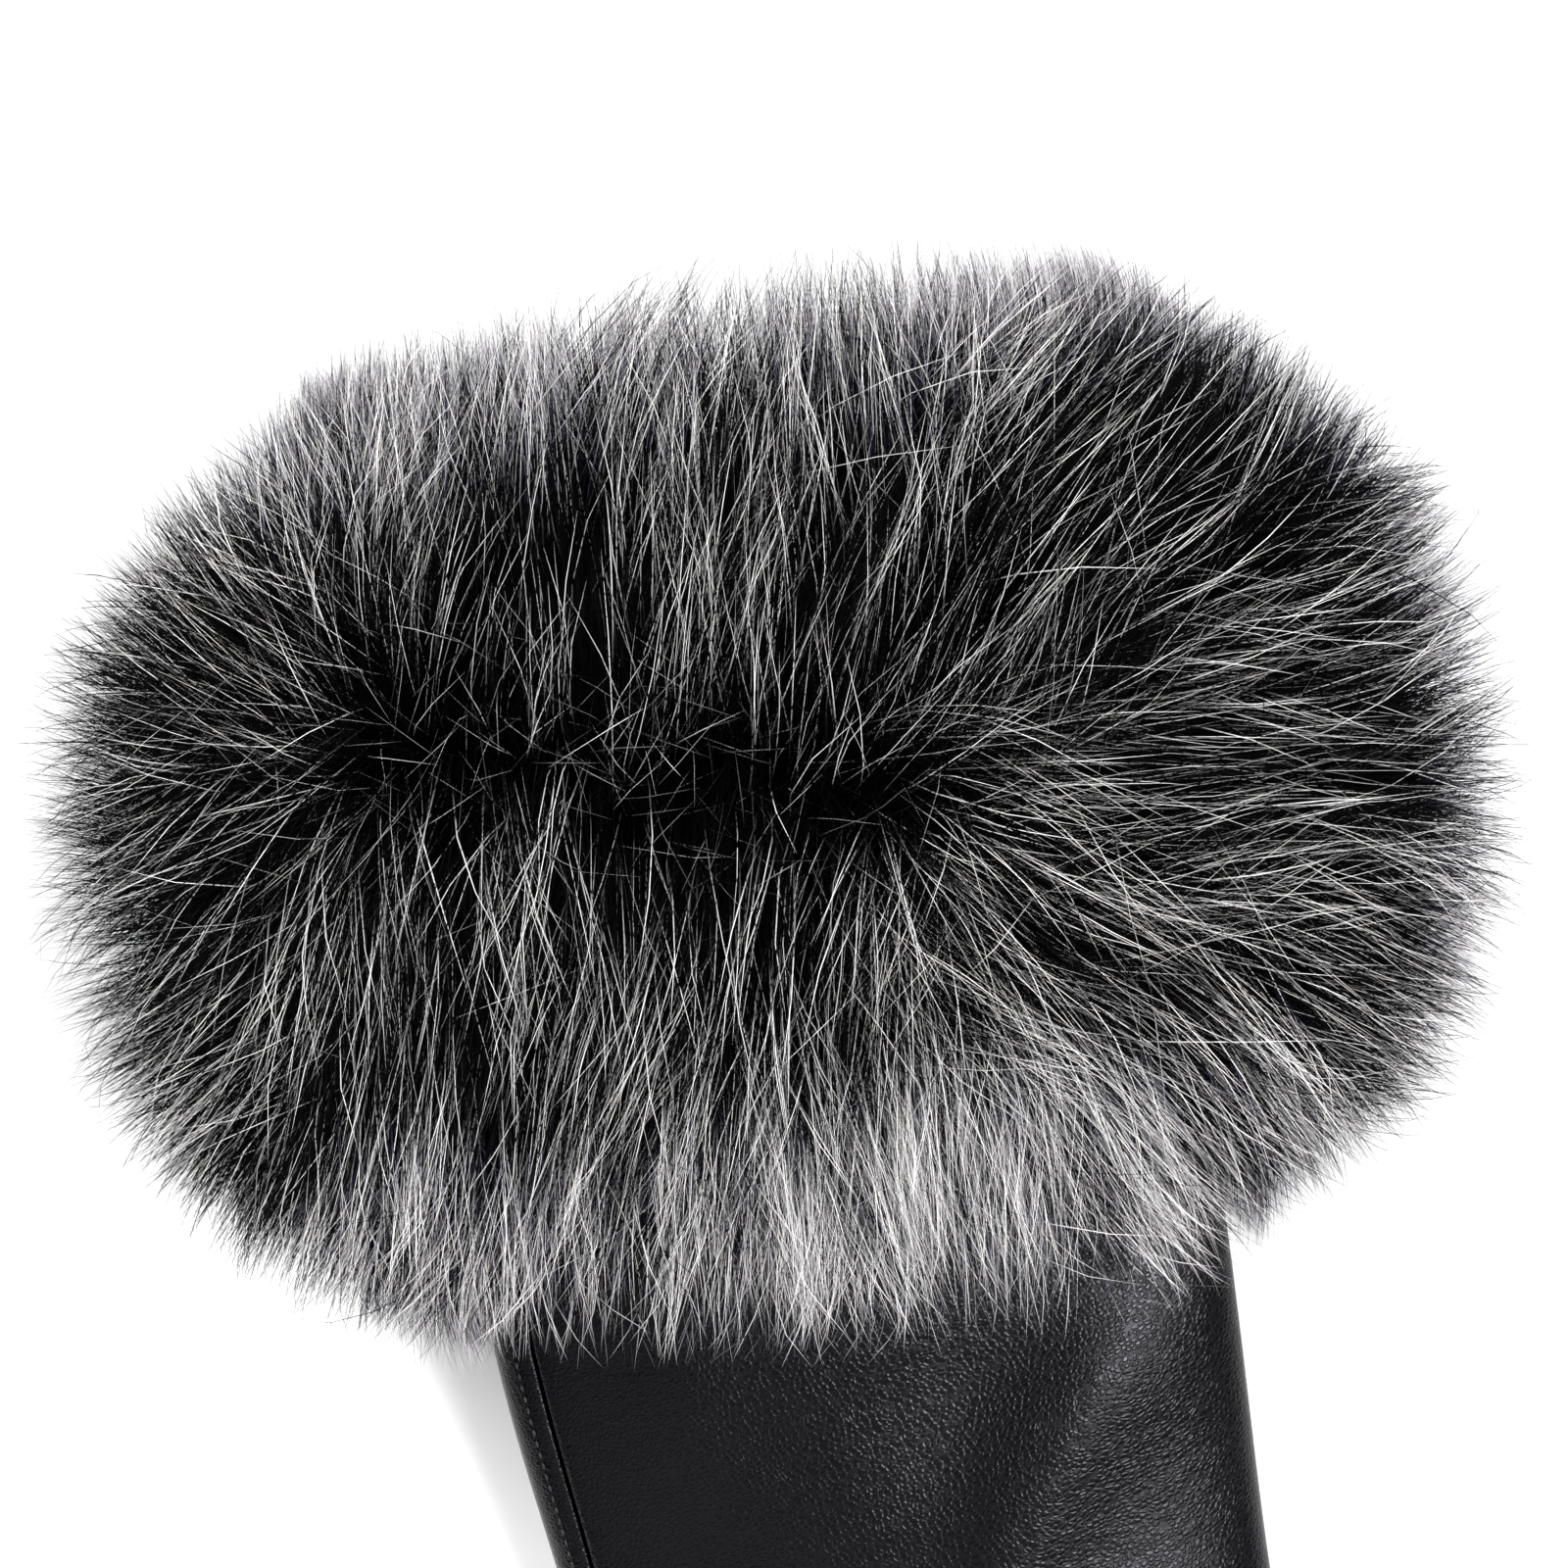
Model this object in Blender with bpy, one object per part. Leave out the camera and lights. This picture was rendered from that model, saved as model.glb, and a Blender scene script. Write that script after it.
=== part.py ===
"""A right-hand leather glove with a deep fur cuff, lying palm down on a flat surface.

Metres, +Z up. The fingers point along -Y, the wrist opening faces +Y and the thumb lies on the +X side.
The origin is on the palm's flat underside, where the glove rests.

The leather is a back panel and a palm panel, cut with the four fingers in them, a fourchette between each two
fingers and a thumb. The side seam runs on the back, just inside the little-finger edge. The fur cuff is a
sleeve of pelt round the leather, with its hair in locks.
"""

import math
import random
from collections import namedtuple

import bmesh
import bpy
import numpy as np

# Leather
WALL = 0.0010  # thickness of the leather
SEAM_GAP = 0.0003  # slit between two sewn edges
SEAM_INSET = 0.0052  # from the little-finger edge to the side seam, on the back
FINGER_SEAM_INSET = 0.0024  # the same, along the little finger
UNDER_INSET = 0.0050  # from the index-finger edge to the seam under it
FINGER_UNDER_INSET = 0.0026  # the same, along the index finger

# Where the sections lie, measured from the palm's middle
OPENING_Y = 0.193
CUFF_Y = 0.095  # the fur's lower edge
WRIST_Y = 0.050
KNUCKLE_Y = -0.033

# Flat widths and thicknesses of the leather hull
SLEEVE_WIDTH = 0.0952
WRIST_WIDTH = 0.0890
PALM_WIDTH = 0.0925
SLEEVE_THICK = 0.0180
WRIST_THICK = 0.0200
PALM_THICK = 0.0235
KNUCKLE_THICK = 0.0185
CUFF_LIFT = 0.0220  # how far the fur under it holds the sleeve off the surface
SECTION_POWER = 2.2  # 2 is an ellipse, more is squarer
REST_FLATTEN = 1.22  # how much of the underside the surface presses flat
SMOOTHING = 0.014  # half the length over which one section runs into the next
PALM_START = 0.6  # share of the way from the wrist to the palm's middle where the palm lies flat
FINGERS_START = 0.55  # share of the way from the knuckles to the palm's middle where the even rows end

# Fingers
FINGER_LENGTH = 0.0805  # of the middle finger, from the knuckles
FINGER_WIDTH = 0.0216
FINGER_THICK = 0.0132
CROTCH_WIDTH = 0.0026
CROTCH_DEPTH = 0.0030
CROTCH_GAP = 2 * SEAM_GAP  # upright, where the rims slant
SEAM_ANGLE = math.radians(26)  # a fourchette spans this far above and below a finger's side
FINGER_POWER = 2.3
FINGER_BLEND = 0.34  # share of a finger over which the hand's section turns into its own
TIP_START = 0.76  # share of a finger where its tip starts to round off
TIP_WIDTH = 0.30  # width left at the very tip, as a share of the finger's
FOURCHETTE_END = 0.90
FINGER_TAPER = 0.10
TIP_HEIGHT = 0.47  # height of the tip's seam, as a share of the finger's thickness

# From the little finger to the index finger, as shares of the middle one's sizes: set_back is how much nearer to
# the wrist a finger starts, as a share of the length, and lean is in degrees
Finger = namedtuple("Finger", "name length width thick set_back lean")
FINGER_SHARES = [
    Finger("little", 0.73, 0.88, 0.91, 0.087, -8.5),
    Finger("ring", 0.92, 0.96, 0.97, 0.019, -3.0),
    Finger("middle", 1.00, 1.00, 1.00, 0.000, 1.0),
    Finger("index", 0.91, 0.98, 0.98, 0.019, 5.5),
]

# Thumb
THUMB_LENGTH = 0.0830
THUMB_WIDTH = 0.0255
THUMB_THICK = 0.0155
THUMB_LEAN = 38.0  # degrees from the fingers' direction
THUMB_Y = 0.0190  # where its axis starts
THUMB_INSIDE = 0.0180  # from the hand's edge in to the start of its axis
THUMB_TIP_START = 0.72
THUMB_ROOT = 0.40  # share of it that thins towards its start, so that it stays inside the hand there
THUMB_ROOT_THICK = 0.50
THUMB_STEP = 0.0003  # the hole in the hand is this much smaller all round than the thumb's hollow

# Soft folds on the back, as shares of the palm's width: x and y from the middle of the fur's lower edge to the
# fold's middle, its half length, half width and height, negative for a dent. Turn is its direction from +X in degrees
Fold = namedtuple("Fold", "x y turn long wide high")
FOLDS = [
    Fold(0.375, -0.135, 30, 0.150, 0.060, 0.019),
    Fold(0.195, -0.310, 54, 0.190, 0.070, 0.020),
    Fold(0.170, -0.090, 42, 0.200, 0.100, -0.014),
    Fold(-0.050, -0.290, 10, 0.140, 0.090, 0.008),
    Fold(-0.290, -0.110, 62, 0.170, 0.070, 0.008),
]

# Fur cuff
FUR_WIDTH = 0.192  # across the glove
FUR_LENGTH = 0.136  # along it
FUR_HEIGHT = 0.084
FUR_POWER = 2.35  # plan outline towards the wrist opening, 2 is an ellipse
FUR_LOW_POWER = 2.75  # the same towards the hand
FUR_LOW_REACH = 0.0060  # how far past the fur's lower edge the hair beside and under the leather goes
FUR_TOP_POWER = 2.2
FUR_REST_POWER = 4.2  # the underside is pressed flat
PELT_LENGTH = 0.070
PELT_THICK = 0.0012
PELT_GAP = 0.0003
FUR_FAN = math.radians(76)  # how far the hair at the pelt's two edges leans along the glove
FUR_CORE = 0.56  # share of the hair's length where it parts into locks
FUR_CLEAR = 0.0045  # the hair's ends stay this far off the leather
LOCKS_ROUND = 36
LOCKS_ALONG = 9
LOCK_WAIST = 0.66  # a lock's width halfway up, as a share of its base
LOCK_LIFT = 0.10  # how far a lock bows outwards, as a share of its length
LOCK_SPREAD = 0.20  # how unevenly the locks end, as a share of their length

# Fineness
TUNNEL_ROWS = 5
TUNNEL_COLUMNS = 64
SLEEVE_ROWS = 4
WRIST_ROWS = 7
PALM_ROWS = 8
STRIP_COLUMNS = 6
WRAP_COLUMNS = 8
FINGER_STATIONS = (0.12, 0.26, 0.44, 0.62, TIP_START, 0.86, 0.93, 0.98, 1.0)
THUMB_ROWS = 11
THUMB_COLUMNS = 18
STEP = 1e-4  # for slopes, as a share
SLOPE_STEP = 0.0216 * SLEEVE_WIDTH  # for slopes along the hull
LEAST_RADIUS = 0.0926 * FINGER_WIDTH  # a finger's ring counts as no smaller than this beside a seam

X, Y, Z = range(3)


def smoothstep(t):
    t = min(max(t, 0.0), 1.0)
    return t * t * (3 - 2 * t)


def mix(a, b, t):
    return a + (b - a) * t


def power(value, exponent):
    return math.copysign(abs(value) ** exponent, value)


def make_material(name, colour, roughness):
    material = bpy.data.materials.new(name)
    material.use_nodes = True
    shader = material.node_tree.nodes["Principled BSDF"]
    shader.inputs["Base Color"].default_value = (*colour, 1.0)
    shader.inputs["Roughness"].default_value = roughness
    shader.inputs["Metallic"].default_value = 0.0
    material.diffuse_color = (*colour, 1.0)
    return material


def make_object(name, points, faces, material):
    mesh = bpy.data.meshes.new(name)
    mesh.from_pydata([tuple(p) for p in points], [], faces)
    bm = bmesh.new()
    bm.from_mesh(mesh)
    bmesh.ops.recalc_face_normals(bm, faces=bm.faces)
    bm.to_mesh(mesh)
    bm.free()
    mesh.shade_smooth()
    mesh.set_sharp_from_angle(angle=math.radians(50))
    obj = bpy.data.objects.new(name, mesh)
    bpy.context.scene.collection.objects.link(obj)
    if material:
        mesh.materials.append(material)
    return obj


# The hand: one section after another from the wrist opening to the knuckles


def sized(finger):
    """A finger of the table with its sizes in metres."""
    return finger._replace(
        length=finger.length * FINGER_LENGTH,
        width=finger.width * FINGER_WIDTH,
        thick=finger.thick * FINGER_THICK,
        set_back=finger.set_back * FINGER_LENGTH,
    )


FINGERS = [sized(finger) for finger in FINGER_SHARES]
KNUCKLE_WIDTH = sum(f.width for f in FINGERS) + CROTCH_WIDTH * (len(FINGERS) - 1)
Section = namedtuple("Section", "y left right lift thick")
SECTIONS = [
    Section(OPENING_Y, -0.500 * SLEEVE_WIDTH, 0.500 * SLEEVE_WIDTH, CUFF_LIFT, SLEEVE_THICK),
    Section(mix(CUFF_Y, OPENING_Y, 0.2), -0.502 * SLEEVE_WIDTH, 0.498 * SLEEVE_WIDTH, CUFF_LIFT, SLEEVE_THICK),
    Section(CUFF_Y, -0.502 * SLEEVE_WIDTH, 0.498 * SLEEVE_WIDTH, 0.84 * CUFF_LIFT, SLEEVE_THICK),
    Section(WRIST_Y, -0.476 * WRIST_WIDTH, 0.524 * WRIST_WIDTH, 0.16 * CUFF_LIFT, WRIST_THICK),
    Section(mix(WRIST_Y, 0.0, PALM_START), -0.485 * PALM_WIDTH, 0.515 * PALM_WIDTH, 0.0, PALM_THICK),
    Section(0.0, -0.490 * PALM_WIDTH, 0.510 * PALM_WIDTH, 0.0, PALM_THICK),
    Section(KNUCKLE_Y, -0.493 * KNUCKLE_WIDTH, 0.507 * KNUCKLE_WIDTH, 0.0, KNUCKLE_THICK),
]


def section_at(y):
    """The hull's section at this place along the glove, run smoothly from one to the next."""
    ys = [s.y for s in reversed(SECTIONS)]
    near = y + SMOOTHING * np.linspace(-1, 1, 9)

    def value(column):
        return float(np.mean(np.interp(near, ys, [s[column] for s in reversed(SECTIONS)])))

    return Section(y, *[value(c) for c in range(1, 5)])


def fold_height(x, y):
    """How far the folds raise the back at this place."""
    total = 0.0
    for fold in FOLDS:
        turn = math.radians(fold.turn)
        dx, dy = x / PALM_WIDTH - fold.x, (y - CUFF_Y) / PALM_WIDTH - fold.y
        along = dx * math.cos(turn) + dy * math.sin(turn)
        across = -dx * math.sin(turn) + dy * math.cos(turn)
        total += fold.high * math.exp(-((across / fold.wide) ** 2) - (along / fold.long) ** 2)
    return total * PALM_WIDTH


def body_point(y, angle):
    """A point of the hull's outside. Angle 0 is the index-finger edge, 90 degrees the back, 180 the other edge."""
    s = section_at(y)
    half, high = (s.right - s.left) / 2, s.thick / 2
    across, up = math.cos(angle), math.sin(angle)
    x = (s.left + s.right) / 2 + half * power(across, 2 / SECTION_POWER)
    rise = high * power(up, 2 / SECTION_POWER)
    if up < 0:
        return np.array([x, y, s.lift + max(high + REST_FLATTEN * rise, 0.0)])
    return np.array([x, y, s.lift + high + rise + fold_height(x, y) * up * up])


def normal_of(surface, u, v, du, dv):
    """The outward normal of surface(u, v), from its slopes. u runs away from the wrist, v over the back to -X."""
    along = surface(u + du, v) - surface(u - du, v)
    around = surface(u, v + dv) - surface(u, v - dv)
    n = np.cross(around, along)
    return n / np.linalg.norm(n)


def body_normal(y, angle):
    return normal_of(lambda u, v: body_point(-u, v), -y, angle, SLOPE_STEP, 0.02)


def edge_angle(y, inset):
    """How far round the section, from its edge, a line lies that runs this far inside the edge."""
    s = section_at(y)
    return math.acos((1 - 2 * inset / (s.right - s.left)) ** (SECTION_POWER / 2))


def side_seam_angle(y):
    inset = mix(FINGER_SEAM_INSET, SEAM_INSET, smoothstep((y - KNUCKLE_Y) / (CUFF_Y - KNUCKLE_Y)))
    return math.pi - edge_angle(y, inset)


def under_seam_angle(y):
    return -edge_angle(y, UNDER_INSET)


# Fingers: each has a ring that starts as a share of the knuckle section and turns into its own


def finger_spans():
    """Each finger's (left, right) edge on the knuckle section, from -1 to 1."""
    spans, at = [], -KNUCKLE_WIDTH / 2
    for f in FINGERS:
        spans.append((2 * at / KNUCKLE_WIDTH, 2 * (at + f.width) / KNUCKLE_WIDTH))
        at += f.width + CROTCH_WIDTH
    return spans


SPANS = finger_spans()
LAST = len(FINGERS) - 1


def base_y(i):
    return KNUCKLE_Y + FINGERS[i].set_back


def body_angle(share, above):
    """The hull's angle at a share across it, from -1 at the little-finger edge to 1."""
    angle = math.acos(power(max(-1.0, min(1.0, share)), SECTION_POWER / 2))
    return angle if above else -angle


def finger_root_angle(i, angle):
    """Where a point of a finger's ring lies on the hull's section."""
    left, right = SPANS[i]
    share = mix(left, right, (1 + power(math.cos(angle), 2 / FINGER_POWER)) / 2)
    return body_angle(share, math.sin(angle) >= 0)


def has_wall(i, angle):
    """True on the side of a finger that faces another finger, between its two seams."""
    facing_right = math.cos(angle) > 0
    outer = (i == LAST) if facing_right else (i == 0)
    return not outer and abs(math.sin(angle)) < math.sin(SEAM_ANGLE)


def finger_root(i, angle):
    """A finger's ring where it leaves the hand: part of the hull's section, closed by a wall at each crotch."""
    y = base_y(i)
    if not has_wall(i, angle):
        return body_point(y, finger_root_angle(i, angle))
    side = 0.0 if math.cos(angle) > 0 else math.pi
    lean = SEAM_ANGLE if side == 0.0 else math.pi - SEAM_ANGLE
    top = body_point(y, finger_root_angle(i, lean))
    bottom = body_point(y, finger_root_angle(i, -lean))
    middle = body_point(y, finger_root_angle(i, side))
    share = (1 + math.sin(angle) / math.sin(SEAM_ANGLE)) / 2
    bow = 1 - (2 * share - 1) ** 2
    return np.array([mix(top[X], middle[X], bow), y, mix(bottom[Z], top[Z], share)])


def tip_round(s, start, left):
    """How wide a tip is at s, from 1 where it starts to round off to the share that is left at its end."""
    t = max(0.0, (s - start) / (1 - start))
    return mix(left, 1.0, math.sqrt(max(0.0, 1 - t * t)))


def own_ring(s, angle, size):
    """A point of a finger's own ring: how far across, and how high."""
    width, thick, start, tip_width = size
    body = 1 - FINGER_TAPER * s
    half = width / 2 * body * tip_round(s, start, tip_width)
    centre = TIP_HEIGHT * thick * body
    up = power(math.sin(angle), 2 / FINGER_POWER) * tip_round(s, start, 0.0)
    room = thick * body - centre if up > 0 else REST_FLATTEN * centre
    return half * power(math.cos(angle), 2 / FINGER_POWER), max(centre + room * up, 0.0)


def finger_point(i, s, angle):
    """A point of a finger's outside, s from 0 at the knuckles to 1 at the tip."""
    f = FINGERS[i]
    across, z = own_ring(s, angle, (f.width, f.thick, TIP_START, TIP_WIDTH))
    lean = math.radians(f.lean)
    section = section_at(base_y(i))
    middle = mix(section.left, section.right, (1 + sum(SPANS[i]) / 2) / 2)
    own = np.array(
        [
            middle + across * math.cos(lean) + s * f.length * math.sin(lean),
            base_y(i) + across * math.sin(lean) - s * f.length * math.cos(lean),
            z,
        ]
    )
    root = finger_root(i, angle) + np.array([0.0, -s * f.length, 0.0])
    return mix(root, own, smoothstep(s / FINGER_BLEND))


def finger_normal(i, s, angle):
    if s == 1:
        lean = math.radians(FINGERS[i].lean)
        return np.array([math.sin(lean), -math.cos(lean), 0.0])
    return normal_of(lambda u, v: finger_point(i, u, v), max(s, 0.004), angle, 0.004, 0.03)


def seam_room(i, s, angle, turn):
    """Half the slit at a seam, as an angle of the finger's ring, on the side that turn, 1 or -1, names."""
    step = finger_point(i, s, angle + turn * STEP) - finger_point(i, s, angle)
    return turn * SEAM_GAP / 2 / max(np.linalg.norm(step) / STEP, LEAST_RADIUS)


def closing(s):
    """Every seam runs to the side line of the tip: 1 up to where the tip starts, 0 at a fourchette's end."""
    return 1 - smoothstep((s - TIP_START) / (FOURCHETTE_END - TIP_START))


def seam_angle(s):
    return SEAM_ANGLE * closing(s)


def inset_angle(i, s, inset):
    """How far round finger i's ring, from its side, a line lies that runs this far inside the side."""
    return math.acos((1 - 2 * inset / FINGERS[i].width) ** (FINGER_POWER / 2)) * closing(s)


# Leather sheets: two surfaces a wall apart, closed round their rims


class Sheet:
    """Points by name, each with its outside and inside place, and the faces between them."""

    def __init__(self):
        self.index, self.outer, self.inner, self.faces = {}, [], [], []

    def point(self, key, outside, normal):
        if key not in self.index:
            self.index[key] = len(self.outer)
            self.outer.append(outside)
            self.inner.append(outside - WALL * normal)
        return key

    def strip(self, first, second):
        for a, b, c, d in zip(first, first[1:], second[1:], second):
            self.faces.append([self.index[k] for k in (a, b, c, d)])

    def build(self, name, material):
        count = len(self.outer)
        uses = {}
        for face in self.faces:
            for a, b in zip(face, face[1:] + face[:1]):
                uses.setdefault(frozenset((a, b)), []).append((a, b))
        rims = [[b, a, a + count, b + count] for (a, b), *more in uses.values() if not more]
        inside = [[k + count for k in reversed(face)] for face in self.faces]
        return make_object(name, self.outer + self.inner, self.faces + inside + rims, material)


def panel_seams(i, s, back):
    """The angles of finger i's ring at which a panel's two seams lie, at its +X end and its -X end."""
    first = -inset_angle(i, s, FINGER_UNDER_INSET) if i == LAST else seam_angle(s)
    last = math.pi - (inset_angle(i, s, FINGER_SEAM_INSET) if i == 0 else seam_angle(s))
    if back:
        return first, last
    return first if i == LAST else -first, last - 2 * math.pi if i == 0 else -last


def finger_row_angles(i, s, back):
    """Evenly spaced angles across a panel's finger, clear of its seams."""
    first, last = panel_seams(i, s, back)
    turn = 1 if back else -1
    wraps = (i == LAST and back) or (i == 0 and not back)
    start = first + seam_room(i, s, first, turn)
    return np.linspace(start, last + seam_room(i, s, last, -turn), WRAP_COLUMNS if wraps else STRIP_COLUMNS)


def finger_row(sheet, i, row, s, back):
    """One row of points across a finger, from +X to -X. The rims at its seams stand square to the leather."""
    angles = finger_row_angles(i, s, back)
    apart = SEAM_GAP / 2 * (1 - closing(s))
    shift = np.array([0.0, 0.0, apart if back else -apart])
    first, last = panel_seams(i, s, back)
    facing = [first, *angles[1:-1], last]
    for column, (angle, face) in enumerate(zip(angles, facing)):
        sheet.point((i, row, column), finger_point(i, s, angle) + shift, finger_normal(i, s, face))
    return [(i, row, column) for column in range(len(angles))]


def knuckle_row(sheet, back):
    """The row where the hand parts into fingers, from +X to -X: (key, angle on the hull) pairs."""
    row = []
    for i in range(LAST, -1, -1):
        keys = finger_row(sheet, i, 0, 0.0, back)
        for key, angle in zip(keys, finger_row_angles(i, 0.0, back)):
            on_hull = finger_root_angle(i, angle)
            if not back and i == 0 and math.sin(angle) > 0:
                on_hull -= 2 * math.pi
            row.append((key, on_hull))
        if i:
            row.append(crotch_point(sheet, i, back))
    return row


def crotch_place(i, above):
    """The foot of the slit between finger i and the one before it, and its angle on the hull."""
    share = (SPANS[i][0] + SPANS[i - 1][1]) / 2
    y = (base_y(i) + base_y(i - 1)) / 2 + CROTCH_DEPTH
    angle = body_angle(share, above)
    return body_point(y, angle), angle


def crotch_point(sheet, i, back):
    place, angle = crotch_place(i, back)
    normal = np.array([0.0, -1.0, 1.0 if back else -1.0]) / math.sqrt(2)
    return sheet.point(("crotch", i), place, normal), angle


def hand_rows():
    """Where the hand's rows of points lie, from the wrist opening to just before the knuckles."""
    sleeve = np.linspace(OPENING_Y, CUFF_Y, SLEEVE_ROWS, endpoint=False)
    wrist = np.linspace(CUFF_Y, WRIST_Y, WRIST_ROWS, endpoint=False)
    return [*sleeve, *wrist, *np.linspace(WRIST_Y, mix(KNUCKLE_Y, 0.0, FINGERS_START), PALM_ROWS)]


def build_panel(name, back, material):
    """The back or the palm: a grid from the wrist opening to the knuckles, and a strip for each finger."""
    sheet = Sheet()
    keys, angles = zip(*knuckle_row(sheet, back))
    before = None
    for r, y in enumerate(hand_rows()):
        own = [sheet.point(("hand", r, a), body_point(y, a), body_normal(y, a)) for a in spread(angles, y, back)]
        if before:
            sheet.strip(before, own)
        before = own
    sheet.strip(before, keys)
    for i in range(len(FINGERS)):
        rows = [[k for k in keys if k[0] == i]]
        rows += [finger_row(sheet, i, r + 1, s, back) for r, s in enumerate(FINGER_STATIONS)]
        for upper, lower in zip(rows, rows[1:]):
            sheet.strip(upper, lower)
    return sheet.build(name, material)


def spread(angles, y, back):
    """The knuckle row's angles, stretched to reach a panel's two seams at this section."""
    first, last = panel_ends(y, back)
    return [mix(first, last, (a - angles[0]) / (angles[-1] - angles[0])) for a in angles]


def panel_ends(y, back):
    """The angles on the hull at which a panel ends, beside its two long seams."""
    section = section_at(y)
    room = SEAM_GAP / (section.right - section.left) / math.sin(edge_angle(y, UNDER_INSET))
    if back:
        return under_seam_angle(y) + room, side_seam_angle(y) - room
    return under_seam_angle(y) - room, side_seam_angle(y) + room - 2 * math.pi


def build_fourchette(i, material):
    """The strip between finger i and the one before it: up one side, round the crotch and down the other."""
    sheet = Sheet()
    stations = [0.0] + [s for s in FINGER_STATIONS if s < FOURCHETTE_END]
    rows = []
    for s in reversed(stations):
        rows.append(side_row(sheet, i - 1, s, 0.0))
    rows.append(crotch_row(sheet, i))
    for s in stations:
        rows.append(side_row(sheet, i, s, math.pi))
    for a, b in zip(rows, rows[1:]):
        sheet.strip(a, b)
    name = f"fourchette_{FINGERS[i].name}_{FINGERS[i - 1].name}"
    return sheet.build(name, material)


def side_row(sheet, i, s, side):
    """Three points down the side of a finger, between its two seams. Side is 0 or pi."""
    keys = []
    for level in (1, 0, -1):
        turn = level if side == 0.0 else -level
        seam = side + turn * seam_angle(s)
        angle = seam + seam_room(i, s, seam, -turn) if level else side
        keys.append(sheet.point((i, s, level), finger_point(i, s, angle), finger_normal(i, s, seam)))
    return keys


def crotch_row(sheet, i):
    top, bottom = crotch_place(i, True)[0], crotch_place(i, False)[0]
    keys = []
    for level in (1, 0, -1):
        place = mix(bottom, top, (1 + level) / 2) - np.array([0.0, 0.0, level * CROTCH_GAP])
        normal = np.array([0.0, -1.0, float(level)]) / math.sqrt(1 + level * level)
        keys.append(sheet.point(("crotch", level), place, normal))
    return keys


# Thumb


def thumb_point(s, angle):
    """A point of the thumb's outside, s from 0 inside the hand to 1 at the tip."""
    lean = math.radians(THUMB_LEAN)
    across, z = own_ring(s, angle, (THUMB_WIDTH, THUMB_THICK, THUMB_TIP_START, 0.0))
    section = section_at(THUMB_Y)
    middle = section.lift + section.thick / 2
    z = middle + (z - middle) * mix(THUMB_ROOT_THICK, 1.0, smoothstep(s / THUMB_ROOT))
    start = section.right - THUMB_INSIDE
    reach = s * THUMB_LENGTH
    return np.array(
        [
            start + across * math.cos(lean) + reach * math.sin(lean),
            THUMB_Y + across * math.sin(lean) - reach * math.cos(lean),
            z,
        ]
    )


def thumb_rings(inset):
    """Rings of the thumb, this far inside its surface, and the point that closes its tip."""
    rings = []
    for row in range(THUMB_ROWS):
        s = math.sin(math.pi / 2 * row / THUMB_ROWS)
        ring = []
        for column in range(THUMB_COLUMNS):
            angle = 2 * math.pi * (column + 0.5) / THUMB_COLUMNS
            near = max(s, 0.01)
            normal = normal_of(thumb_point, near, angle, 0.004, 0.03)
            ring.append(thumb_point(s, angle) - inset * normal)
        rings.append(ring)
    tip = thumb_point(1.0, 0.0) - inset * np.array(
        [math.sin(math.radians(THUMB_LEAN)), -math.cos(math.radians(THUMB_LEAN)), 0.0]
    )
    return rings, tip


def tube_faces(rings, count, start):
    """Faces of a tube of rings whose points are numbered from start, and the number after its last one."""
    faces = []
    for row in range(rings - 1):
        for column in range(count):
            a = start + row * count + column
            b = start + row * count + (column + 1) % count
            faces.append([a, b, b + count, a + count])
    return faces, start + rings * count


def capped_tube(rings, tip, start):
    """A tube whose far end is closed by a point: its points and faces."""
    count = len(rings[0])
    faces, after = tube_faces(len(rings), count, start)
    for column in range(count):
        faces.append([after - count + column, after - count + (column + 1) % count, after])
    return [p for ring in rings for p in ring] + [tip], faces


def build_thumb(material):
    outer, outer_faces = capped_tube(*thumb_rings(0.0), 0)
    inner, inner_faces = capped_tube(*thumb_rings(WALL), len(outer))
    rim = []
    for a in range(THUMB_COLUMNS):
        b = (a + 1) % THUMB_COLUMNS
        rim.append([a, b, b + len(outer), a + len(outer)])
    thumb = make_object("thumb", outer + inner, outer_faces + inner_faces + rim, material)
    cut(thumb, hull_cutter())
    return thumb


def hide(obj):
    obj.hide_render = True
    obj.display_type = "WIRE"
    return obj


def hull_cutter():
    """The hand's outside grown by the seam's slit, for the thumb to end on."""
    rings = []
    for y in np.linspace(mix(CUFF_Y, WRIST_Y, 0.5), mix(KNUCKLE_Y, 0.0, 0.2), 12):
        angles = [2 * math.pi * k / 40 for k in range(40)]
        rings.append([body_point(y, a) + SEAM_GAP * body_normal(y, a) for a in angles])
    faces, after = tube_faces(len(rings), 40, 0)
    faces += [list(range(40)), list(range(after - 40, after))]
    return hide(make_object("hull_cutter", [p for ring in rings for p in ring], faces, None))


def thumb_cutter():
    """The hole for the thumb through the side of the hand, no wider than the thumb's hollow."""
    rings, tip = thumb_rings(WALL + THUMB_STEP)
    points, faces = capped_tube(rings, tip, 0)
    faces.append(list(range(THUMB_COLUMNS)))
    return hide(make_object("thumb_cutter", points, faces, None))


def cut(obj, cutter):
    modifier = obj.modifiers.new("cut", "BOOLEAN")
    modifier.operation = "DIFFERENCE"
    modifier.object = cutter


# Fur cuff: a pelt round the leather, and hair that fans out from it in locks


def tunnel_ring(along):
    """The inside of the pelt, along from -1 at its lower edge to 1 at the opening."""
    y = OPENING_Y - PELT_LENGTH * (1 - along) / 2
    angles = [2 * math.pi * k / TUNNEL_COLUMNS for k in range(TUNNEL_COLUMNS)]
    return [body_point(y, a) + PELT_GAP * body_normal(y, a) for a in angles]


def hair_root(along, angle):
    y = OPENING_Y - PELT_LENGTH * (1 - along) / 2
    return body_point(y, angle) + (PELT_GAP + PELT_THICK) * body_normal(y, angle)


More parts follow.
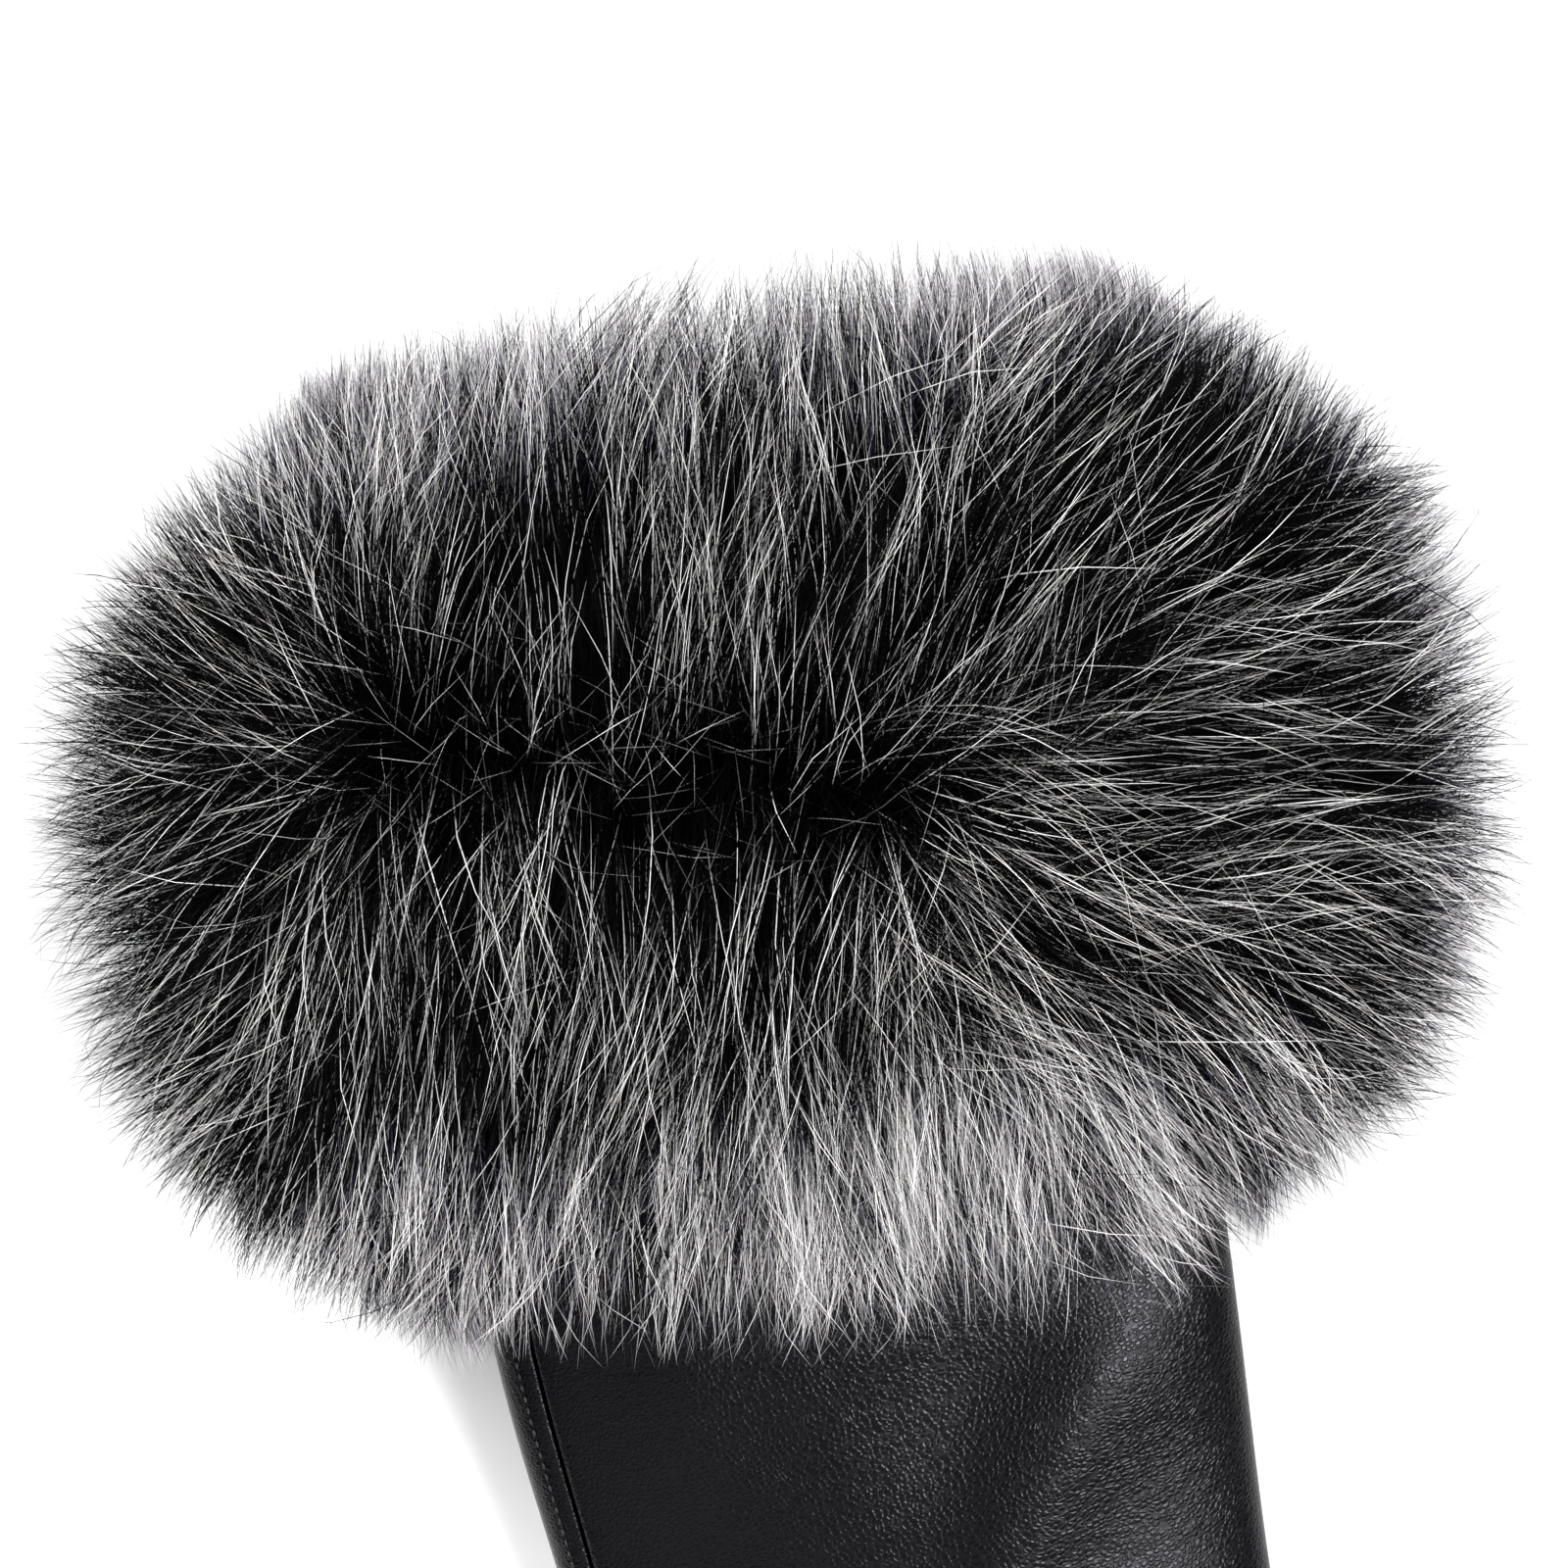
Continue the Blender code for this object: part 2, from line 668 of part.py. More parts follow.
def hair_end(along, angle):
    """Where the hair ends that grows this far along and round the pelt."""
    fan = along * FUR_FAN
    across, up = math.cos(angle), math.sin(angle)
    exponent = 2 / (FUR_POWER if along > 0 else FUR_LOW_POWER)
    reach = FUR_LENGTH / 2 + (0.0 if along > 0 else FUR_LOW_REACH * (1 - max(up, 0.0)))
    y = CUFF_Y + FUR_LENGTH / 2 + reach * power(math.sin(fan), exponent)
    ring = math.cos(fan) ** exponent
    leather = section_at(y)
    sleeve = section_at(OPENING_Y)
    half = max(FUR_WIDTH / 2 * ring, (leather.right - leather.left) / 2 + FUR_CLEAR)
    middle = sleeve.lift + sleeve.thick / 2
    if up < 0:
        z = mix(middle, 0.0, (-up) ** (2 / FUR_REST_POWER))
        return np.array([half * power(across, 2 / FUR_REST_POWER), y, z])
    top = max(mix(middle, FUR_HEIGHT, ring), leather.lift + leather.thick + FUR_CLEAR)
    return np.array([half * power(across, 2 / FUR_TOP_POWER), y, mix(middle, top, up ** (2 / FUR_TOP_POWER))])


def core_point(row, column):
    """A corner between four locks."""
    along = 2 * row / LOCKS_ALONG - 1
    angle = 2 * math.pi * column / LOCKS_ROUND
    return mix(hair_root(along, angle), hair_end(along, angle), FUR_CORE)


def lock_points(row, column, corners, chance):
    """A lock's four points halfway up and its end, over the four corners of its base."""
    along = 2 * (row + 0.5) / LOCKS_ALONG - 1
    angle = 2 * math.pi * (column + 0.5) / LOCKS_ROUND
    root = sum(corners) / 4
    end = mix(root, hair_end(along, angle), 1 - LOCK_SPREAD * chance.random())
    bow = LOCK_LIFT * np.linalg.norm(end - root) * normal_from(corners)
    middle = mix(root, end, 0.5) + bow
    points = [middle + LOCK_WAIST * (corner - root) for corner in corners] + [end]
    return [np.array([p[X], p[Y], max(p[Z], 0.0)]) for p in points]


def normal_from(corners):
    n = np.cross(corners[2] - corners[0], corners[3] - corners[1])
    return n / np.linalg.norm(n)


def join_rings(first, second):
    """Triangles between two rings of different counts whose numbers both run once round from the same side."""
    faces, a, b = [], 0, 0
    while a < len(first) or b < len(second):
        one, two = first[a % len(first)], second[b % len(second)]
        if b == len(second) or (a < len(first) and (a + 0.5) / len(first) <= (b + 0.5) / len(second)):
            a += 1
            faces.append([one, first[a % len(first)], two])
        else:
            b += 1
            faces.append([one, second[b % len(second)], two])
    return faces


def build_fur(material):
    chance = random.Random(7)
    points, faces = [], []
    for row in range(TUNNEL_ROWS):
        points += tunnel_ring(2 * row / (TUNNEL_ROWS - 1) - 1)
    tunnel, core = tube_faces(TUNNEL_ROWS, TUNNEL_COLUMNS, 0)
    faces += tunnel
    for row in range(LOCKS_ALONG + 1):
        points += [core_point(row, column) for column in range(LOCKS_ROUND)]
    cells, _ = tube_faces(LOCKS_ALONG + 1, LOCKS_ROUND, core)
    for k, cell in enumerate(cells):
        corners = [points[v] for v in cell]
        start = len(points)
        points += lock_points(*divmod(k, LOCKS_ROUND), corners, chance)
        for side in range(4):
            after = (side + 1) % 4
            faces.append([cell[side], cell[after], start + after, start + side])
            faces.append([start + side, start + after, start + 4])
    ends = (0, core), (core - TUNNEL_COLUMNS, core + LOCKS_ALONG * LOCKS_ROUND)
    for inner, outer in ends:
        inner_ring = list(range(inner, inner + TUNNEL_COLUMNS))
        faces += join_rings(inner_ring, list(range(outer, outer + LOCKS_ROUND)))
    return make_object("fur_cuff", points, faces, material)


def main():
    for obj in list(bpy.data.objects):
        bpy.data.objects.remove(obj, do_unlink=True)
    leather = make_material("black_leather", (0.012, 0.012, 0.014), 0.42)
    inner_leather = make_material("black_leather_fourchettes", (0.010, 0.010, 0.012), 0.46)
    fur = make_material("silver_fur", (0.42, 0.40, 0.42), 0.85)
    panels = [build_panel("back_panel", True, leather), build_panel("palm_panel", False, leather)]
    hole = thumb_cutter()
    for panel in panels:
        cut(panel, hole)
    for i in range(1, len(FINGERS)):
        build_fourchette(i, inner_leather)
    build_thumb(leather)
    build_fur(fur)


main()
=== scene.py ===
"""The fur-trimmed glove's finished look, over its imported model.

Grained black lambskin with sewn seams and a deep silver fur cuff, seen from straight above on a white surface.
"""

import math
from collections import namedtuple

import bmesh
import bpy
import numpy as np
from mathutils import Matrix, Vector


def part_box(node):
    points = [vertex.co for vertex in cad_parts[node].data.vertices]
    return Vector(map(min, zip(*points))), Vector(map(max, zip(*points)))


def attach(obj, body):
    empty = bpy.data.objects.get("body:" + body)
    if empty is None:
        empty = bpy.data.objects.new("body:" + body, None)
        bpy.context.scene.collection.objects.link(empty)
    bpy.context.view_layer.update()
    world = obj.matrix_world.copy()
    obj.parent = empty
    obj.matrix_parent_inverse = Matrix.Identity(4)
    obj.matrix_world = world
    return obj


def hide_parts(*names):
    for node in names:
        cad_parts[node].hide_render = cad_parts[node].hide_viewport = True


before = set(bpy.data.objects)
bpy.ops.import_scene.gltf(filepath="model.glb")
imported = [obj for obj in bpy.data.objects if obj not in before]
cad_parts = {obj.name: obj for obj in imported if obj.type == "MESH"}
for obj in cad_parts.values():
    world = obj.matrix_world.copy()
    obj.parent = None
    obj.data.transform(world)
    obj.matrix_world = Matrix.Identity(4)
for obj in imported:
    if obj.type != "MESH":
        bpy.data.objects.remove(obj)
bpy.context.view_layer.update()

MM = 0.001
X, Y, Z = range(3)


def smoothstep(t):
    t = min(max(t, 0.0), 1.0)
    return t * t * (3 - 2 * t)


def mix(a, b, t):
    return a + (b - a) * t


def power(value, exponent):
    return math.copysign(abs(value) ** exponent, value)


# Places along the glove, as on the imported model
OPENING_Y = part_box("back_panel")[1][Y]
CUFF_Y = 95 * MM  # the fur's lower edge on the leather
WRIST_Y = 50 * MM
KNUCKLE_Y = -33 * MM

# Leather
WALL = 1.0 * MM
SEAM_GAP = 0.16 * MM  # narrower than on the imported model, so that less light shows through
SEAM_INSET = 5.2 * MM
FINGER_SEAM_INSET = 2.4 * MM
UNDER_INSET = 5.0 * MM
FINGER_UNDER_INSET = 2.6 * MM
SLEEVE_WIDTH, WRIST_WIDTH, PALM_WIDTH = 95.2 * MM, 89.0 * MM, 92.5 * MM
SLEEVE_THICK, WRIST_THICK, PALM_THICK, KNUCKLE_THICK = 18.0 * MM, 20.0 * MM, 23.5 * MM, 18.5 * MM
CUFF_LIFT = 22.0 * MM
SECTION_POWER = 2.2
REST_FLATTEN = 1.22
SMOOTHING = 14 * MM

FINGER_LENGTH, FINGER_WIDTH, FINGER_THICK = 80.5 * MM, 21.6 * MM, 13.2 * MM
CROTCH_WIDTH, CROTCH_DEPTH = 2.6 * MM, 3.0 * MM
SEAM_ANGLE = math.radians(26)
FINGER_POWER = 2.3
FINGER_BLEND = 0.34
TIP_START, TIP_WIDTH, TIP_HEIGHT = 0.76, 0.30, 0.47
FOURCHETTE_END = 0.90
FINGER_TAPER = 0.10
# Shares of the middle finger's sizes, with the lean in degrees
Finger = namedtuple("Finger", "name length width thick set_back lean")
FINGER_SHARES = [
    Finger("little", 0.73, 0.88, 0.91, 0.087, -8.5),
    Finger("ring", 0.92, 0.96, 0.97, 0.019, -3.0),
    Finger("middle", 1.00, 1.00, 1.00, 0.000, 1.0),
    Finger("index", 0.91, 0.98, 0.98, 0.019, 5.5),
]
THUMB_LENGTH, THUMB_WIDTH, THUMB_THICK = 83.0 * MM, 25.5 * MM, 15.5 * MM
THUMB_LEAN = 38.0
THUMB_Y, THUMB_INSIDE = 19.0 * MM, 18.0 * MM
THUMB_TIP_START, THUMB_ROOT, THUMB_ROOT_THICK = 0.72, 0.40, 0.50

# Folds on the back, in shares of the palm's width from the middle of the fur's lower edge. A fold runs along
# its turn, in degrees from +X; high is negative for a dent
Fold = namedtuple("Fold", "x y turn long wide high")
FOLDS = [
    Fold(0.375, -0.135, 30, 0.150, 0.060, 0.019),
    Fold(0.195, -0.310, 54, 0.190, 0.070, 0.020),
    Fold(0.170, -0.090, 42, 0.200, 0.100, -0.014),
    Fold(-0.050, -0.290, 10, 0.140, 0.090, 0.008),
    Fold(-0.290, -0.110, 62, 0.170, 0.070, 0.008),
]
ROWS, STRIP_COLUMNS, WRAP_COLUMNS = 30, 7, 9
HAND_END_SHARE = 0.3  # of the way from the knuckles to the palm's middle, where the hand's rows end
LEVELS = (1, 0.5, 0, -0.5, -1)  # of the points across a side strip, from its upper to its lower seam
STATIONS = (0.06, 0.14, 0.24, 0.36, 0.48, 0.60, 0.70, TIP_START, 0.83, 0.88, 0.92, 0.96, 0.985, 1.0)
THUMB_ROWS, THUMB_COLUMNS = 22, 28
THUMB_SKIN_FROM = 0.10  # share of its length, inside the hand
SUBDIVISIONS, THUMB_SUBDIVISIONS = 2, 1
SEAM_STEP = 1e-4  # the turn over which a seam's gap is measured
BODY_STEP, FINGER_STEP = (2 * MM, 0.02), (0.004, 0.03)  # along and round, over which a normal is taken

# Stitches
STITCH_PITCH = 1.5 * MM
STITCH_LENGTH = 0.9 * MM
STITCH_RADIUS = 0.20 * MM
STITCH_SUNK = 0.10 * MM
STITCH_ASIDE = 2.3 * MM  # from the seam to the row of stitches
STITCH_CORNERS = 6
STITCH_RINGS = ((-0.5, 0.35), (-0.3, 0.9), (0.0, 1.0), (0.3, 0.9), (0.5, 0.35))  # place along it and thickness
STITCHES_FROM = mix(CUFF_Y, OPENING_Y, 0.3)

# Fur
PARTING = (np.array([-44 * MM, CUFF_Y + 79 * MM]), np.array([10 * MM, CUFF_Y + 63 * MM]))
FUR_WIDTH, FUR_LENGTH, FUR_HEIGHT = 196 * MM, 136 * MM, 84 * MM
FUR_MIDDLE = np.array([-0.5 * MM, CUFF_Y + FUR_LENGTH / 2])
FUR_POWER, FUR_LOW_POWER, FUR_TOP_POWER, FUR_REST_POWER = 2.35, 2.75, 2.2, 4.2
FUR_LOW_REACH = 6 * MM  # how much further the fur reaches towards the hand
OVER_LEATHER, EDGE_SLANT = 6.5 * MM, 0.085  # the same over the sleeve's back, and more of it to the right
FUR_CLEAR = 4.5 * MM  # least distance of its outline from the sleeve's side
FUR_FAN = math.radians(82)
PELT_LENGTH = 70 * MM
PELT_FROM, PELT_TO = OPENING_Y - PELT_LENGTH, OPENING_Y
PELT_HALF, PELT_Z = 46 * MM, 32 * MM  # how far from the middle and how low the roots of the top hair may lie
PELT_POWER = 0.9
HAIR_WIDTH, CORE_HAIR_WIDTH = 0.155 * MM, 0.11 * MM
ARM = 0.42  # share of a hair's length that sets how long it keeps its direction at either end

# Hair over the top, at the parting and fully away from it: how far it leans over, how its tip rises, and how
# much it bends
LEAN_OVER = 26 * MM  # the distance from the parting in which the hair comes to lean fully
NEAR_REACH, FAR_REACH = 4 * MM, 44 * MM
NEAR_RISE, FAR_RISE = 1.0, 0.12
NEAR_BEND, FAR_BEND, CLUMP_BEND = 0.22, 0.07, 0.05
CLUMP_TURN, HAIR_TURN = 0.12, 0.09
STRAYS, STRAY_TURN = 0.06, 0.45  # the share of hairs that turn any way, and how far
CLUMP_SPAN = (-12 * MM, 3 * MM)  # along a clump, where its hairs end
ROOT_SPREAD = 2.8 * MM
DROOP, DROOP_FROM, DROOP_TO = 1.6, 0.70, 1.1  # of the tips near the rim, between shares of the outline
SPARSE_WITHIN, SPARSEST = 24 * MM, 0.06  # from the parting, and the share of clumps that is left on it
LOW_EDGE_Y, LOW_EDGE_FADE, ELSEWHERE = CUFF_Y + 22 * MM, 10 * MM, 0.6  # more clumps lie along the low edge
WIDTHS, SIDE_WIDTHS, CORE_WIDTHS = (0.7, 1.2), (0.7, 1.15), (0.8, 1.2)  # shares of the hair's width
TAPER, TAPER_POWER = 2.2, 0.7

# Tone: where it turns from dark to pale, each with the distance that takes
# Hair is drawn darker towards the parting: partly the dark base seen in its hollow, partly painted shade of
# that hollow
CORE_FROM, CORE_TO = 6 * MM, 28 * MM  # from the parting
LOW_BAND_Y, LOW_BAND_FADE = CUFF_Y + 30 * MM, 18 * MM
HIGH_BAND_Y, HIGH_BAND_FADE, HIGH_BAND_SHARE = CUFF_Y + 106 * MM, 16 * MM, 0.85
BAND_HALF, BAND_END_FADE = 80 * MM, 22 * MM
LOWER_Y, LOWER_FADE = CUFF_Y + 60 * MM, 30 * MM
RIM_FROM, RIM_TO, RIM_SIDE = 0.84, 0.95, 0.7
CLUMP_TONES, SIDE_TONES = (0.25, 1.25), (0.5, 1.2)
PALE_SHADE, PALE_VARIES, DARK_VARIES, UNDER_VARIES = 0.62, 0.13, 0.015, 0.25

# The dark depth below the hair: a closed near-black sheet for the dense lower hair, in that hair's own dark
# colour with the shade deep in the fur painted in
CORE_SHARE = 0.62  # of the hair's length that is too dense to see into
CORE_SLIM = 0.50  # how much less that is at both ends of the pelt
CORE_COLUMNS, CORE_ROWS = 72, 28
CORE_OUTSIDE, CORE_INSIDE = 1.5 * MM, 0.4 * MM  # over the leather, where the depth starts and at its hole


# The glove's form: the same sections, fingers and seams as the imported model, on a finer cage


def sized(finger):
    return finger._replace(
        length=finger.length * FINGER_LENGTH,
        width=finger.width * FINGER_WIDTH,
        thick=finger.thick * FINGER_THICK,
        set_back=finger.set_back * FINGER_LENGTH,
    )


FINGERS = [sized(finger) for finger in FINGER_SHARES]
LAST = len(FINGERS) - 1
KNUCKLE_WIDTH = sum(f.width for f in FINGERS) + CROTCH_WIDTH * LAST
Section = namedtuple("Section", "y left right lift thick")
SECTIONS = [
    Section(OPENING_Y, -0.500 * SLEEVE_WIDTH, 0.500 * SLEEVE_WIDTH, CUFF_LIFT, SLEEVE_THICK),
    Section(mix(CUFF_Y, OPENING_Y, 0.2), -0.502 * SLEEVE_WIDTH, 0.498 * SLEEVE_WIDTH, CUFF_LIFT, SLEEVE_THICK),
    Section(CUFF_Y, -0.502 * SLEEVE_WIDTH, 0.498 * SLEEVE_WIDTH, 0.84 * CUFF_LIFT, SLEEVE_THICK),
    Section(WRIST_Y, -0.476 * WRIST_WIDTH, 0.524 * WRIST_WIDTH, 0.16 * CUFF_LIFT, WRIST_THICK),
    Section(mix(WRIST_Y, 0.0, 0.6), -0.485 * PALM_WIDTH, 0.515 * PALM_WIDTH, 0.0, PALM_THICK),
    Section(0.0, -0.490 * PALM_WIDTH, 0.510 * PALM_WIDTH, 0.0, PALM_THICK),
    Section(KNUCKLE_Y, -0.493 * KNUCKLE_WIDTH, 0.507 * KNUCKLE_WIDTH, 0.0, KNUCKLE_THICK),
]
SECTION_YS = [s.y for s in reversed(SECTIONS)]
SECTION_COLUMNS = [[s[c] for s in reversed(SECTIONS)] for c in range(1, 5)]


def section_at(y):
    near = y + SMOOTHING * np.linspace(-1, 1, 9)
    return Section(y, *[float(np.mean(np.interp(near, SECTION_YS, column))) for column in SECTION_COLUMNS])


def fold_height(x, y):
    total = 0.0
    for fold in FOLDS:
        turn = math.radians(fold.turn)
        dx, dy = x / PALM_WIDTH - fold.x, (y - CUFF_Y) / PALM_WIDTH - fold.y
        along = dx * math.cos(turn) + dy * math.sin(turn)
        across = -dx * math.sin(turn) + dy * math.cos(turn)
        total += fold.high * math.exp(-((across / fold.wide) ** 2) - (along / fold.long) ** 2)
    return total * PALM_WIDTH


def body_point(y, angle):
    """A point of the hand's outside: angle 0 is the index-finger edge, 90 degrees the back."""
    s = section_at(y)
    half, high = (s.right - s.left) / 2, s.thick / 2
    up = math.sin(angle)
    x = (s.left + s.right) / 2 + half * power(math.cos(angle), 2 / SECTION_POWER)
    rise = high * power(up, 2 / SECTION_POWER)
    if up < 0:
        return np.array([x, y, s.lift + max(high + REST_FLATTEN * rise, 0.0)])
    return np.array([x, y, s.lift + high + rise + fold_height(x, y) * up * up])


def normal_of(surface, u, v, du, dv):
    along = surface(u + du, v) - surface(u - du, v)
    around = surface(u, v + dv) - surface(u, v - dv)
    n = np.cross(around, along)
    return n / np.linalg.norm(n)


def body_normal(y, angle):
    return normal_of(lambda u, v: body_point(-u, v), -y, angle, *BODY_STEP)


def edge_angle(y, inset):
    s = section_at(y)
    return math.acos((1 - 2 * inset / (s.right - s.left)) ** (SECTION_POWER / 2))


def side_seam_inset(y):
    return mix(FINGER_SEAM_INSET, SEAM_INSET, smoothstep((y - KNUCKLE_Y) / (CUFF_Y - KNUCKLE_Y)))


def side_seam_angle(y):
    return math.pi - edge_angle(y, side_seam_inset(y))


def under_seam_angle(y):
    return -edge_angle(y, UNDER_INSET)


def finger_spans():
    spans, at = [], -KNUCKLE_WIDTH / 2
    for f in FINGERS:
        spans.append((2 * at / KNUCKLE_WIDTH, 2 * (at + f.width) / KNUCKLE_WIDTH))
        at += f.width + CROTCH_WIDTH
    return spans


SPANS = finger_spans()


def base_y(i):
    return KNUCKLE_Y + FINGERS[i].set_back


def body_angle(share, above):
    angle = math.acos(power(max(-1.0, min(1.0, share)), SECTION_POWER / 2))
    return angle if above else -angle


def finger_root_angle(i, angle):
    left, right = SPANS[i]
    share = mix(left, right, (1 + power(math.cos(angle), 2 / FINGER_POWER)) / 2)
    return body_angle(share, math.sin(angle) >= 0)


def has_wall(i, angle):
    facing_right = math.cos(angle) > 0
    outer = (i == LAST) if facing_right else (i == 0)
    return not outer and abs(math.sin(angle)) < math.sin(SEAM_ANGLE)


def finger_root(i, angle):
    y = base_y(i)
    if not has_wall(i, angle):
        return body_point(y, finger_root_angle(i, angle))
    side = 0.0 if math.cos(angle) > 0 else math.pi
    lean = SEAM_ANGLE if side == 0.0 else math.pi - SEAM_ANGLE
    top = body_point(y, finger_root_angle(i, lean))
    bottom = body_point(y, finger_root_angle(i, -lean))
    middle = body_point(y, finger_root_angle(i, side))
    share = (1 + math.sin(angle) / math.sin(SEAM_ANGLE)) / 2
    bow = 1 - (2 * share - 1) ** 2
    return np.array([mix(top[X], middle[X], bow), y, mix(bottom[Z], top[Z], share)])


def tip_round(s, start, left):
    t = max(0.0, (s - start) / (1 - start))
    return mix(left, 1.0, math.sqrt(max(0.0, 1 - t * t)))


def own_ring(s, angle, width, thick, start, tip_width):
    body = 1 - FINGER_TAPER * s
    half = width / 2 * body * tip_round(s, start, tip_width)
    centre = TIP_HEIGHT * thick * body
    up = power(math.sin(angle), 2 / FINGER_POWER) * tip_round(s, start, 0.0)
    room = thick * body - centre if up > 0 else REST_FLATTEN * centre
    return half * power(math.cos(angle), 2 / FINGER_POWER), max(centre + room * up, 0.0)


def finger_point(i, s, angle):
    f = FINGERS[i]
    across, z = own_ring(s, angle, f.width, f.thick, TIP_START, TIP_WIDTH)
    lean = math.radians(f.lean)
    section = section_at(base_y(i))
    middle = mix(section.left, section.right, (1 + sum(SPANS[i]) / 2) / 2)
    reach = s * f.length
    x = middle + across * math.cos(lean) + reach * math.sin(lean)
    y = base_y(i) + across * math.sin(lean) - reach * math.cos(lean)
    root = finger_root(i, angle) + np.array([0.0, -reach, 0.0])
    return mix(root, np.array([x, y, z]), smoothstep(s / FINGER_BLEND))


def finger_normal(i, s, angle):
    if s == 1:
        lean = math.radians(FINGERS[i].lean)
        return np.array([math.sin(lean), -math.cos(lean), 0.0])
    return normal_of(lambda u, v: finger_point(i, u, v), max(s, FINGER_STEP[0]), angle, *FINGER_STEP)


def seam_room(i, s, angle, turn):
    step = finger_point(i, s, angle + turn * SEAM_STEP) - finger_point(i, s, angle)
    return turn * SEAM_GAP / 2 / max(np.linalg.norm(step) / SEAM_STEP, 2 * MM)


def closing(s):
    return 1 - smoothstep((s - TIP_START) / (FOURCHETTE_END - TIP_START))


def seam_angle(s):
    return SEAM_ANGLE * closing(s)


def inset_angle(i, s, inset):
    return math.acos((1 - 2 * inset / FINGERS[i].width) ** (FINGER_POWER / 2)) * closing(s)


class Sheet:
    """A cage of named points, each with an outside and an inside place, and the faces between them."""

    def __init__(self):
        self.index, self.outer, self.inner, self.faces = {}, [], [], []

    def point(self, key, outside, normal):
        if key not in self.index:
            self.index[key] = len(self.outer)
            self.outer.append(outside)
            self.inner.append(outside - WALL * normal)
        return key

    def strip(self, first, second):
        for a, b, c, d in zip(first, first[1:], second[1:], second):
            self.faces.append([self.index[k] for k in (a, b, c, d)])

    def build(self, name):
        count = len(self.outer)
        uses = {}
        for face in self.faces:
            for a, b in zip(face, face[1:] + face[:1]):
                uses.setdefault(frozenset((a, b)), []).append((a, b))
        rims = [[b, a, a + count, b + count] for (a, b), *more in uses.values() if not more]
        inside = [[k + count for k in reversed(face)] for face in self.faces]
        return make_piece(name, self.outer + self.inner, self.faces + inside + rims)


def new_object(name, data):
    obj = bpy.data.objects.new(name, data)
    bpy.context.scene.collection.objects.link(obj)
    return obj


def make_piece(name, points, faces):
    mesh = bpy.data.meshes.new(name)
    mesh.from_pydata([tuple(p) for p in points], [], faces)
    bm = bmesh.new()
    bm.from_mesh(mesh)
    bmesh.ops.recalc_face_normals(bm, faces=bm.faces)
    bm.to_mesh(mesh)
    bm.free()
    mesh.shade_smooth()
    return new_object(name, mesh)


def between(first, second, count):
    """The faces between two rings of this many points, which start at these numbers."""
    pairs = [(k, (k + 1) % count) for k in range(count)]
    return [[first + a, first + b, second + b, second + a] for a, b in pairs]


def refine(obj, levels):
    modifier = obj.modifiers.new("smooth", "SUBSURF")
    modifier.levels = modifier.render_levels = levels
    return obj


def panel_seams(i, s, back):
    first = -inset_angle(i, s, FINGER_UNDER_INSET) if i == LAST else seam_angle(s)
    last = math.pi - (inset_angle(i, s, FINGER_SEAM_INSET) if i == 0 else seam_angle(s))
    if back:
        return first, last
    return first if i == LAST else -first, last - 2 * math.pi if i == 0 else -last


def finger_row_angles(i, s, back):
    first, last = panel_seams(i, s, back)
    turn = 1 if back else -1
    wraps = (i == LAST and back) or (i == 0 and not back)
    start = first + seam_room(i, s, first, turn)
    return np.linspace(start, last + seam_room(i, s, last, -turn), WRAP_COLUMNS if wraps else STRIP_COLUMNS)


def finger_row(sheet, i, row, s, back):
    angles = finger_row_angles(i, s, back)
    apart = SEAM_GAP / 2 * (1 - closing(s))
    shift = np.array([0.0, 0.0, apart if back else -apart])
    first, last = panel_seams(i, s, back)
    facing = [first, *angles[1:-1], last]
    for column, (angle, face) in enumerate(zip(angles, facing)):
        sheet.point((i, row, column), finger_point(i, s, angle) + shift, finger_normal(i, s, face))
    return [(i, row, column) for column in range(len(angles))]


def knuckle_row(sheet, back):
    row = []
    for i in range(LAST, -1, -1):
        keys = finger_row(sheet, i, 0, 0.0, back)
        for key, angle in zip(keys, finger_row_angles(i, 0.0, back)):
            on_hull = finger_root_angle(i, angle)
            if not back and i == 0 and math.sin(angle) > 0:
                on_hull -= 2 * math.pi
            row.append((key, on_hull))
        if i:
            row.append(crotch_point(sheet, i, back))
    return row


def crotch_place(i, above):
    share = (SPANS[i][0] + SPANS[i - 1][1]) / 2
    y = (base_y(i) + base_y(i - 1)) / 2 + CROTCH_DEPTH
    angle = body_angle(share, above)
    return body_point(y, angle), angle


def crotch_point(sheet, i, back):
    place, angle = crotch_place(i, back)
    normal = np.array([0.0, -1.0, 1.0 if back else -1.0]) / math.sqrt(2)
    return sheet.point(("crotch", i), place, normal), angle


def spread(angles, y, back):
    first, last = panel_ends(y, back)
    return [mix(first, last, (a - angles[0]) / (angles[-1] - angles[0])) for a in angles]


def panel_ends(y, back):
    section = section_at(y)
    room = SEAM_GAP / (section.right - section.left) / math.sin(edge_angle(y, UNDER_INSET))
    if back:
        return under_seam_angle(y) + room, side_seam_angle(y) - room
    return under_seam_angle(y) - room, side_seam_angle(y) + room - 2 * math.pi


def build_panel(name, back):
    sheet = Sheet()
    keys, angles = zip(*knuckle_row(sheet, back))
    before = None
    for r, y in enumerate(np.linspace(OPENING_Y, mix(KNUCKLE_Y, 0.0, HAND_END_SHARE), ROWS)):
        turns = spread(angles, y, back)
        own = [sheet.point(("hand", r, a), body_point(y, a), body_normal(y, a)) for a in turns]
        if before:
            sheet.strip(before, own)
        before = own
    sheet.strip(before, keys)
    for i in range(len(FINGERS)):
        rows = [[k for k in keys if k[0] == i]]
        rows += [finger_row(sheet, i, r + 1, s, back) for r, s in enumerate(STATIONS)]
        for upper, lower in zip(rows, rows[1:]):
            sheet.strip(upper, lower)
    return refine(sheet.build(name), SUBDIVISIONS)


